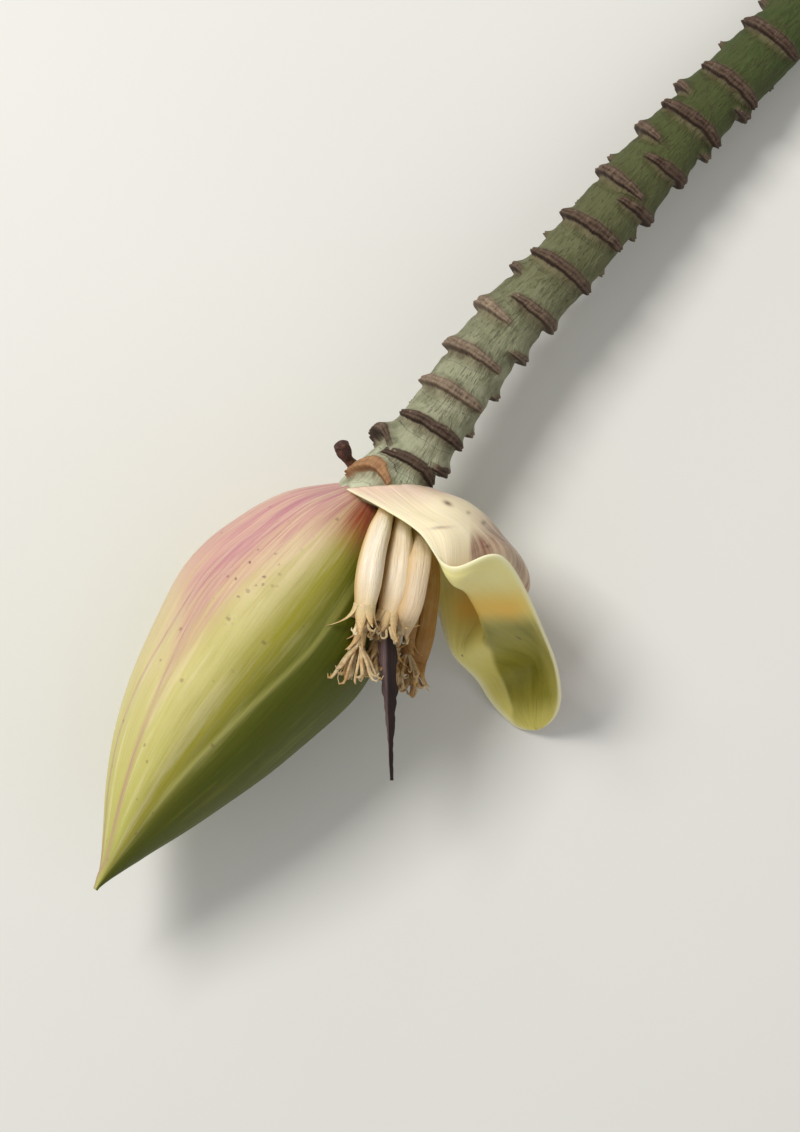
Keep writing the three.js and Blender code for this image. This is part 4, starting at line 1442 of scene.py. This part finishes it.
class Effects:
    """Each effect's node group, built once."""

    def __init__(self) -> None:
        """Build all groups."""
        self.groups = {
            Effect.STREAKS: self.streaks(),
            Effect.MOTTLE: self.mottle(),
            Effect.SPECKS: self.specks(),
        }

    def start(self, effect: Effect, **numbers: float) -> tuple[Tree, dict[str, Socket], Socket]:
        """Start a group that takes a place and named numbers and gives a mask.

        Args:
            effect: Which effect it is.
            numbers: Named numbers that it takes, with their usual values.

        Returns:
            The tree, its inputs by name, and the socket that its mask goes to.
        """
        group = bpy.data.node_groups.new(effect.value, "ShaderNodeTree")
        group.interface.new_socket("Place", in_out="INPUT", socket_type="NodeSocketVector")
        for name, value in numbers.items():
            socket = group.interface.new_socket(name, in_out="INPUT", socket_type="NodeSocketFloat")
            socket.default_value = value
        group.interface.new_socket("Mask", in_out="OUTPUT", socket_type="NodeSocketFloat")
        tree = Tree(group)
        inward = tree.add("NodeGroupInput")
        outward = tree.add("NodeGroupOutput")
        takes = {socket.name: socket for socket in inward.outputs if socket.name}
        return tree, takes, outward.inputs["Mask"]

    def streaks(self) -> bpy.types.NodeTree:
        """Fine streaks along the third part of the place.

        Returns:
            The group.
        """
        tree, takes, mask = self.start(Effect.STREAKS, Fineness=1.0, Stretch=14.0, Contrast=1.0)
        fineness = takes["Fineness"]
        along = tree.maths("DIVIDE", fineness, takes["Stretch"])
        factors = tree.add("ShaderNodeCombineXYZ", fineness, fineness, along).outputs[0]
        broad = tree.noise(tree.stretched(takes["Place"], factors), 1.0, 3.0, 0.6)
        centred = tree.times(tree.maths("SUBTRACT", broad, 0.5), 2.6)
        tree.feed(mask, tree.maths("MULTIPLY_ADD", centred, takes["Contrast"], 0.5, clamp=True))
        return tree.nodes

    def mottle(self) -> bpy.types.NodeTree:
        """Soft blotches of a size, above a level.

        Returns:
            The group.
        """
        tree, takes, mask = self.start(Effect.MOTTLE, Size=4.0, Level=0.5, Softness=0.12)
        place = tree.stretched(takes["Place"], tree.maths("DIVIDE", 1.0, takes["Size"]))
        above = tree.maths("SUBTRACT", tree.noise(place, 1.0, 4.0, 0.55), takes["Level"])
        tree.feed(mask, tree.maths("ADD", tree.maths("DIVIDE", above, takes["Softness"]), 0.5, clamp=True))
        return tree.nodes

    def specks(self) -> bpy.types.NodeTree:
        """Scattered uneven specks: a share of cells has one.

        Returns:
            The group.
        """
        tree, takes, mask = self.start(Effect.SPECKS, Spacing=5.0, Size=0.16, Share=0.3)
        place = tree.stretched(takes["Place"], tree.maths("DIVIDE", 1.0, takes["Spacing"]))
        cells = tree.add("ShaderNodeTexVoronoi")
        tree.feed_named(cells, {"Vector": place, "Scale": 1.0})
        reach = tree.times(takes["Size"], tree.times(tree.noise(place, 6.0, 2.0), 2.0))
        from_middle = tree.maths("DIVIDE", cells.outputs["Distance"], reach)
        sharp = tree.span(tree.maths("SUBTRACT", 1.0, from_middle, clamp=True), 0.0, 0.45)
        chance = tree.add("ShaderNodeSeparateColor", cells.outputs["Color"]).outputs[0]
        tree.feed(mask, tree.times(sharp, tree.maths("LESS_THAN", chance, takes["Share"])))
        return tree.nodes


class FinishTree(Tree):
    """Node tree of a finish, which reads its effects at the place that the mesh carries."""

    def __init__(self, nodes: bpy.types.NodeTree, effects: Effects) -> None:
        """Start on a material's node tree.

        Args:
            nodes: The material's node tree.
            effects: The effects that it may use.
        """
        super().__init__(nodes)
        self.effects = effects
        self.where = self.carried("place", vector=True)

    def effect(self, effect: Effect, *numbers: float) -> Socket:
        """Mask of an effect, with its numbers in the order in which the group takes them."""
        node = self.add("ShaderNodeGroup", self.where, *numbers, node_tree=self.effects.groups[effect])
        return node.outputs["Mask"]

    def streaks(self, fineness: float, stretch: float, contrast: float = 1.0) -> Socket:
        """Streaks so many times longer than they are wide."""
        return self.effect(Effect.STREAKS, fineness, stretch, contrast)

    def mottle(self, size: float, softness: float, level: float = 0.5) -> Socket:
        """Blotches of a size."""
        return self.effect(Effect.MOTTLE, size, level, softness)

    def specks(self, spacing: float, size: float, share: float) -> Socket:
        """Specks in a share of the cells that are a spacing wide."""
        return self.effect(Effect.SPECKS, spacing, size, share)


@dataclass(frozen=True)
class Skin:
    """What every finish shares: its effects, its shader's plain numbers and its bump."""

    effects: Effects
    name: str = "skin"
    roughness: tuple[float, float] = (0.45, 0.6)
    flesh: float = 0.0
    flesh_depth: float = 0.003
    specular: float = 0.4
    bump_depth: float = 0.0004
    bump_strength: float = 0.6

    def dress(self, tree: FinishTree) -> Dressing:
        """Colour, share from glossy to matt and height over the surface."""
        raise NotImplementedError

    def material(self) -> bpy.types.Material:
        """Build the material once and give it out again when asked.

        Returns:
            The material.
        """
        made = bpy.data.materials.get(self.name)
        if made is not None:
            return made
        made = bpy.data.materials.new(self.name)
        made.use_nodes = True
        tree = FinishTree(made.node_tree, self.effects)
        shader = made.node_tree.nodes["Principled BSDF"]
        colour, matt, height = self.dress(tree)
        bump = tree.add("ShaderNodeBump")
        tree.feed_named(bump, {"Strength": self.bump_strength, "Distance": self.bump_depth, "Height": height})
        tree.feed_named(shader, {
            "Base Color": colour,
            "Roughness": tree.span(matt, 0.0, 1.0, *self.roughness),
            "Normal": bump.outputs[0],
            "Specular IOR Level": self.specular,
            "Subsurface Weight": self.flesh,
            "Subsurface Radius": (1.0, 0.7, 0.3),
            "Subsurface Scale": self.flesh_depth,
        })
        return made


# Finishes

@dataclass(frozen=True)
class StalkSkin(Skin):
    """Sage green, fibrous skin with brown scars, and a pale fibrous cut; it is darker towards the cut, partly
    as painted shade, and each scar has painted shade along its foot and under its ledge.
    """

    name: str = "ringed_stalk_finish"
    roughness: tuple[float, float] = (0.55, 0.8)
    specular: float = 0.25
    bump_depth: float = 0.0006
    bump_strength: float = 0.8

    def dress(self, tree: FinishTree) -> Dressing:
        """Colour, matt share and height.

        Args:
            tree: The material's tree.

        Returns:
            Their sockets.
        """
        scar = tree.carried("scar")
        distance = tree.carried("from_neck")
        tone = tree.carried("tone")
        fine = tree.streaks(1.6, 7.0)
        broad = tree.streaks(0.5, 4.0)
        blotch = tree.mottle(6.0, 0.16, 0.52)
        specks = tree.specks(2.6, 0.2, 0.22)
        cracks = tree.span(tree.streaks(1.0, 3.2, 1.3), 0.74, 1.0)
        torn = tree.times(cracks, tree.span(distance, 20.0, 40.0))
        wander = tree.maths("SUBTRACT", tree.noise(tree.where, 0.4, 3.0), 0.5)
        across = tree.total((wander, 1.1), start=tree.carried("past_scar"))

        # Lighter streak colour, also darker towards the cut, partly as painted shade.
        light = tree.blend(tree.span(distance, 36.0, 170.0), paint(172, 172, 146), paint(86, 96, 56))
        # Brown round each scar, strongest on its bud-ward side: partly staining, partly painted shade under
        # the scar's ledge.
        nearby = tree.span(tree.maths("ABSOLUTE", tree.maths("ADD", across, 1.0)), 5.0, 1.5)
        scar_stain_and_shade = tree.times(tree.times(scar, nearby), tree.total((fine, 0.6), start=0.25))
        # The green darkens towards the cut: partly the stalk's own colour, partly painted shade over its far
        # part.
        green = tree.coats(
            paint(208, 214, 184),
            (tree.span(distance, 9.0, 26.0), 1.0, paint(160, 162, 134)),
            (tree.span(distance, 28.0, 110.0), 1.0, paint(92, 92, 56)),
            (tree.span(distance, 110.0, 230.0), 1.0, paint(52, 68, 26)),
            (broad, 0.5, light),
            (blotch, 0.45, paint(74, 76, 42)),
            (fine, 0.3, light),
            (torn, 0.4, paint(84, 74, 54)),
            (specks, 0.25, paint(70, 64, 46)),
            (scar_stain_and_shade, 1.0, tree.blend(blotch, paint(122, 108, 84), paint(92, 72, 56))))

        dark = tree.blend(fine, paint(54, 34, 31), paint(86, 60, 50))
        tan = tree.blend(fine, paint(126, 102, 88), paint(166, 148, 126))
        orange = tree.span(tone, 1.1, 1.5)
        bark = tree.coats(
            dark,
            (tree.span(tone, -0.2, 0.9), 1.0, tan),
            (blotch, 0.45, tree.blend(broad, tan, dark)),
            (orange, 1.0, tree.blend(fine, paint(146, 98, 66), paint(186, 142, 98))),
            (specks, 0.35, paint(186, 172, 152)))

        # Dark lines of each scar: the one at its bud-ward foot is painted shade in that crease; darker lines
        # also run in the groove between its lips and along its far lip.
        groove = tree.times(tree.ridge(across, 0.05, 0.4), tree.span(broad, 0.2, 0.8, 0.1, 0.8))
        high = tree.times(tree.ridge(across, 1.75, 0.4), 0.45)
        lines = tree.maths("MAXIMUM", tree.ridge(across, -1.75, 0.6), tree.maths("MAXIMUM", groove, high))
        lines = tree.times(tree.times(lines, scar), tree.span(tone, 0.1, 0.9, 1.0, 0.6))
        band = tree.times(tree.span(tree.maths("ABSOLUTE", across), 2.5, 1.5), scar)
        flesh = tree.blend(tree.specks(1.3, 0.3, 0.6), paint(214, 208, 170), paint(150, 128, 88))
        colour = tree.coats(
            green,
            (band, 0.88, bark),
            # Dark scar lines; the one at each scar's bud-ward foot is painted shade.
            (lines, 0.85, tree.blend(orange, paint(44, 26, 25), paint(120, 78, 54))),
            (tree.carried("cut"), 1.0, flesh))
        height = tree.total((fine, 0.6), (broad, 0.5), (torn, -0.7), (lines, -0.6))
        return colour, tree.total((fine, 0.4), start=0.4), height


@dataclass(frozen=True)
class BudSkin(Skin):
    """Smooth leathery skin, cream to olive with a streaky mauve flush and fine lengthwise veins; its right
    side is darker olive, partly its own colour and partly painted shade, and its base beside the flowers has
    red-brown painted shade.
    """

    name: str = "bud_finish"
    roughness: tuple[float, float] = (0.36, 0.55)
    specular: float = 0.2
    flesh: float = 0.12
    bump_depth: float = 0.00035
    bump_strength: float = 0.5

    def dress(self, tree: FinishTree) -> Dressing:
        """Colour, matt share and height.

        Args:
            tree: The material's tree.

        Returns:
            Their sockets.
        """
        along = tree.carried("along")
        shade = tree.carried("shade")
        fine = tree.streaks(1.1, 26.0, 0.9)
        broad = tree.streaks(0.28, 12.0)
        soft = tree.streaks(0.5, 16.0)
        # Lit and shaded copies of the streak colours, mixed by the olive and painted shade mask.
        light = tree.blend(shade, paint(226, 214, 162), paint(106, 110, 24))
        deep = tree.blend(shade, paint(192, 182, 106), paint(80, 84, 8))
        dusky = tree.times(tree.carried("dusky"), tree.span(soft, 0.1, 0.9, 0.45, 0.8))
        ragged = tree.total((fine, 0.45), start=tree.span(soft, 0.1, 0.9, 0.3, 0.6))
        blush = tree.times(tree.carried("flush"), tree.times(ragged, tree.span(broad, 0.0, 0.5, 0.6, 1.0)))
        edge = tree.times(tree.carried("margin"), tree.total((fine, 0.5), start=0.35))
        # Red-brown painted shade at the base, under the bract and flowers.
        brown = tree.times(tree.carried("red_brown_painted_shade"), tree.total((fine, 0.6), start=0.55))
        many = tree.times(tree.specks(2.8, 0.24, 0.65), tree.carried("speckled"))
        dots = tree.maths("MAXIMUM", tree.times(tree.specks(7.0, 0.13, 0.28), 0.5), many)
        veil = tree.blend(tree.span(along, 0.3, 0.75), paint(214, 200, 160), paint(214, 176, 162))
        mauve = tree.blend(fine, paint(208, 150, 156), paint(176, 106, 124))
        colour = tree.coats(
            tree.blend(tree.span(along, 0.5, 0.08), paint(203, 195, 124), paint(190, 190, 92)),
            (tree.span(along, 0.55, 0.85), 1.0, paint(224, 208, 166)),
            # Olive and dark olive on the bud's right side: partly its own colour, partly painted shade.
            (tree.span(shade, 0.1, 0.55), 1.0, paint(152, 146, 38)),
            (tree.span(shade, 0.5, 1.0), 1.0, paint(76, 85, 6)),
            (tree.span(broad, 0.55, 0.95), 0.7, light),
            (tree.span(broad, 0.45, 0.1), 0.5, deep),
            (fine, 0.3, light),
            (tree.mottle(14.0, 0.3), 0.2, deep),
            (dusky, 1.0, veil),
            (tree.maths("MAXIMUM", blush, edge), 1.0, mauve),
            # Red-brown painted shade at the base.
            (brown, 1.0, tree.blend(fine, paint(176, 88, 72), paint(146, 56, 48))),
            (tree.carried("rib"), 0.6, tree.blend(shade, paint(232, 226, 164), paint(164, 162, 84))),
            (dots, 0.8, paint(104, 62, 72)))
        height = tree.total((fine, 0.6), (broad, 0.35))
        return colour, tree.total((fine, 0.5), start=0.25), height


@dataclass(frozen=True)
class LiftedSkin(Skin):
    """Cream outside with brown-mauve patches; yellow inside, with painted light on its upper part, a painted
    orange glow below the lip and olive painted shade down the trough; painted highlights along the rims.
    """

    name: str = "lifted_bract_finish"
    roughness: tuple[float, float] = (0.32, 0.5)
    flesh: float = 0.2
    bump_depth: float = 0.0003
    bump_strength: float = 0.45

    def dress(self, tree: FinishTree) -> Dressing:
        """Colour, matt share and height.

        Args:
            tree: The material's tree.

        Returns:
            Their sockets.
        """
        along = tree.carried("along")
        fine = tree.streaks(1.0, 24.0, 0.9)
        broad = tree.streaks(0.25, 10.0)
        cloud = tree.mottle(9.0, 0.3)
        brown_mauve = tree.maths("MULTIPLY", tree.carried("brown_mauve"), tree.total((fine, 0.7), start=0.45), clamp=True)
        cream = tree.coats(
            tree.blend(tree.span(along, 0.0, 0.2), paint(240, 210, 192), paint(246, 232, 200)),
            (broad, 0.3, paint(236, 216, 172)),
            (brown_mauve, 1.0, tree.blend(cloud, paint(122, 80, 66), paint(172, 128, 106))),
            (tree.carried("marked"), 1.0, paint(94, 62, 56)))
        # Olive of the trough's painted shade.
        olive = tree.blend(tree.times(broad, 0.6), paint(136, 129, 28), paint(162, 154, 46))
        lining = tree.coats(
            paint(228, 216, 118),
            (fine, 0.5, paint(238, 228, 150)),
            # Paler where the upper lining is lit: painted light.
            (tree.carried("pale"), 0.55, paint(250, 242, 184)),
            # Orange painted glow below the lip.
            (tree.carried("painted_glow"), 0.85, paint(248, 194, 60)),
            # Olive painted shade down the trough.
            (tree.carried("deep"), 1.0, olive),
            (cloud, 0.16, paint(224, 214, 120)),
            (tree.span(along, 0.93, 1.0), 0.7, paint(212, 202, 104)))
        colour = tree.coats(
            cream,
            (tree.carried("inside"), 1.0, lining),
            # Painted highlight along the rims.
            (tree.carried("rim"), 0.8, paint(246, 240, 204)),
            (tree.specks(8.0, 0.12, 0.3), 0.7, paint(96, 76, 58)))
        height = tree.total((fine, 0.6), (broad, 0.4))
        return colour, tree.total((fine, 0.5), start=0.25), height


@dataclass(frozen=True)
class CushionSkin(Skin):
    """Matt pale green pad with lighter blotches and darker streaks."""

    name: str = "cushion_finish"
    roughness: tuple[float, float] = (0.6, 0.75)
    flesh: float = 0.1

    def dress(self, tree: FinishTree) -> Dressing:
        """Colour, matt share and height.

        Args:
            tree: The material's tree.

        Returns:
            Their sockets.
        """
        cloud = tree.mottle(2.2, 0.2)
        fine = tree.streaks(1.4, 3.0)
        colour = tree.coats(
            paint(206, 204, 158),
            (cloud, 1.0, paint(222, 216, 182)),
            (fine, 0.35, paint(182, 176, 122)))
        return colour, cloud, fine


@dataclass(frozen=True)
class FlowerSkin(Skin):
    """Satin tepals, ivory to ochre with fine veins, tan lobes and browner stamens; each tube is ivory on one
    upper side as painted light, and tan on the rest as painted shade.
    """

    name: str = "male_flower_finish"
    roughness: tuple[float, float] = (0.36, 0.6)
    flesh: float = 0.22
    flesh_depth: float = 0.002
    bump_depth: float = 0.00025

    def dress(self, tree: FinishTree) -> Dressing:
        """Colour, matt share and height.

        Args:
            tree: The material's tree.

        Returns:
            Their sockets.
        """
        along = tree.carried("along")
        ripeness = tree.carried("ripeness")
        part = tree.carried("part")
        fine = tree.streaks(1.6, 12.0, 1.1)
        cloud = tree.mottle(5.0, 0.25)
        ends = tree.maths("MAXIMUM", tree.span(along, 0.22, 0.0), tree.span(along, 0.6, 1.0))
        pale = tree.blend(tree.times(ends, 0.8), paint(250, 242, 226), paint(238, 208, 152))
        ochre = tree.blend(tree.span(along, 0.3, 0.95), paint(206, 164, 88), paint(160, 108, 36))
        # The tan base stands for shade; the ivory laid over one side of each tube is painted light.
        tube = tree.coats(
            paint(222, 186, 124),
            (tree.carried("painted_light_side"), 1.0, pale),
            (ripeness, 1.0, ochre),
            (fine, 0.35, tree.blend(ripeness, paint(224, 194, 142), paint(142, 96, 38))),
            (cloud, 0.15, paint(226, 200, 150)))
        lobes = tree.blend(tree.span(along, 0.95, 1.22), tube,
                           tree.blend(fine, paint(232, 200, 150), paint(186, 140, 84)))
        anthers = tree.coats(
            paint(242, 222, 182),
            (cloud, 1.0, paint(190, 152, 100)),
            (ripeness, 0.55, tree.blend(fine, paint(132, 92, 44), paint(176, 134, 76))))
        colour = tree.coats(
            tube,
            (tree.maths("GREATER_THAN", part, 0.5), 1.0, lobes),
            (tree.maths("GREATER_THAN", part, 1.5), 1.0, anthers))
        return colour, tree.total((fine, 0.5), start=0.3), fine


@dataclass(frozen=True)
class WitheredSkin(Skin):
    """Dry, near-black brown with grey-mauve streaks down one side."""

    name: str = "withered_finish"
    roughness: tuple[float, float] = (0.6, 0.85)
    bump_depth: float = 0.0006
    bump_strength: float = 0.9

    def dress(self, tree: FinishTree) -> Dressing:
        """Colour, matt share and height.

        Args:
            tree: The material's tree.

        Returns:
            Their sockets.
        """
        fine = tree.streaks(1.6, 5.0, 1.2)
        colour = tree.coats(
            paint(34, 20, 18),
            (tree.span(tree.carried("across"), 0.3, -0.1), 1.0, paint(142, 118, 118)),
            (fine, 0.4, paint(66, 46, 42)))
        return colour, fine, fine


@dataclass(frozen=True)
class StubSkin(Skin):
    """Dry wrinkled brown."""

    name: str = "stub_finish"
    roughness: tuple[float, float] = (0.65, 0.85)
    bump_depth: float = 0.0005
    bump_strength: float = 0.9

    def dress(self, tree: FinishTree) -> Dressing:
        """Colour, matt share and height.

        Args:
            tree: The material's tree.

        Returns:
            Their sockets.
        """
        cloud = tree.mottle(1.6, 0.2)
        colour = tree.coats(
            paint(58, 34, 30),
            (cloud, 1.0, paint(96, 62, 50)),
            (tree.span(tree.carried("along"), 0.5, 0.2), 1.0, paint(122, 82, 58)))
        return colour, cloud, cloud


@dataclass(frozen=True)
class FloorSkin(Skin):
    """Plain pale floor, very faintly uneven."""

    name: str = "floor_finish"
    roughness: tuple[float, float] = (0.85, 0.9)
    bump_strength: float = 0.0

    def dress(self, tree: FinishTree) -> Dressing:
        """Colour, matt share and height.

        Args:
            tree: The material's tree.

        Returns:
            Their sockets.
        """
        tree.where = tree.add("ShaderNodeTexCoord").outputs["Object"]
        cloud = tree.mottle(0.3, 0.6)
        return tree.blend(cloud, paint(226, 226, 222), paint(231, 231, 228)), cloud, cloud


# Studio

@dataclass
class Studio:
    """Plain pale floor, soft lights and the camera straight above."""

    view_centre: tuple[float, float] = (5.25, -26.6)
    view_height: float = 396.2
    distance: float = 3.0
    sensor: float = 36.0
    object_level: float = 0.04
    floor_half: float = 7.0
    floor_tiles: int = 8

    def floor(self, effects: Effects) -> None:
        """Make the floor.

        Args:
            effects: The effects that its finish uses.
        """
        count = self.floor_tiles + 1
        ticks = np.linspace(-self.floor_half, self.floor_half, count)
        places = [(x, y, 0.0) for y in ticks for x in ticks]
        tiles = range(self.floor_tiles)
        corners = [row * count + column for row in tiles for column in tiles]
        mesh = bpy.data.meshes.new("floor")
        mesh.from_pydata(places, [], [(near, near + 1, near + count + 1, near + count) for near in corners])
        mesh.materials.append(FloorSkin(effects).material())
        thing = bpy.data.objects.new("floor", mesh)
        bpy.context.scene.collection.objects.link(thing)

    def light(self, name: str, place: Point, size: float, power: float, colour: Point) -> None:
        """Add a square soft light that shines at the middle of the part.

        Args:
            name: Name of the light.
            place: Where it hangs, in metres.
            size: Its side in metres.
            power: Its power in watts.
            colour: Its colour.
        """
        lamp = bpy.data.lights.new(name, "AREA")
        lamp.size = size
        lamp.energy = power
        lamp.color = colour
        thing = bpy.data.objects.new(name, lamp)
        thing.location = place
        thing.rotation_mode = "QUATERNION"
        away = thing.location.copy()
        away.z -= self.object_level
        thing.rotation_quaternion = away.to_track_quat("Z", "Y")
        thing.visible_camera = False
        bpy.context.scene.collection.objects.link(thing)

    def lights(self) -> None:
        """Soft key from the upper left of the view, a weak fill and an even sky."""
        self.light("key", (-0.8, 0.75, 1.4), 0.6, 23.0, (1.0, 0.975, 0.93))
        self.light("fill", (0.9, -0.5, 1.3), 1.4, 2.0, (1.0, 0.99, 0.97))
        world = bpy.data.worlds.new("sky")
        world.use_nodes = True
        sky = world.node_tree.nodes["Background"]
        sky.inputs["Color"].default_value = (1.0, 0.99, 0.96, 1.0)
        sky.inputs["Strength"].default_value = 0.42
        bpy.context.scene.world = world
        bpy.context.scene.view_settings.view_transform = "Standard"

    def camera(self, placement: Placement) -> None:
        """Look straight down with the image's height spanning the view.

        Args:
            placement: Where the model lies in the frame.
        """
        lens = bpy.data.cameras.new("camera")
        lens.sensor_fit = "VERTICAL"
        lens.sensor_height = self.sensor
        lens.sensor_width = self.sensor
        lens.lens = self.sensor * self.distance / (self.view_height * MM)
        lens.clip_start = 0.05
        lens.clip_end = 50.0
        thing = bpy.data.objects.new("camera", lens)
        centre = placement.metres(np.array([*self.view_centre, 0.0]))
        thing.location = (centre[0], centre[1], self.object_level + self.distance)
        bpy.context.scene.collection.objects.link(thing)
        bpy.context.scene.camera = thing


def main() -> None:
    """Build the studio and every piece."""
    placement = Placement.from_record(frame["record"])
    studio = Studio()
    studio.camera(placement)
    effects = Effects()
    studio.floor(effects)
    studio.lights()
    dresser = Dresser(placement)
    stalk_axis = Route(np.array([
        (-2.5, -7, 38), (2.4, 3.8, 37.4), (9.8, 13.4, 36.4), (19.3, 25.9, 35), (41, 56, 31),
        (63, 78.8, 27.5), (84.7, 104.3, 24), (109.6, 131.3, 20), (133.7, 155, 15.8), CUT_CENTRE]))
    bud_axis = Route(np.array([
        (-101.2, -139.6, 46), (-75.3, -93.9, 41.5), (-44.5, -51.5, 39.4), (-23.4, -25.1, 39),
        (-4, -0.6, 38)]))
    bud = Bud(bud_axis)
    Stalk(stalk_axis).build(dresser, StalkSkin(effects))
    bud.build(dresser, BudSkin(effects))
    LiftedBract().build(dresser, LiftedSkin(effects))
    Cushion().build(dresser, CushionSkin(effects))
    Hand(bud).build(dresser, FlowerSkin(effects))
    WitheredStrip().build(dresser, WitheredSkin(effects))
    NeckStub().build(dresser, StubSkin(effects))
    log.info("%d pieces made", len(dresser.made))


if __name__ == "__main__":
    main()
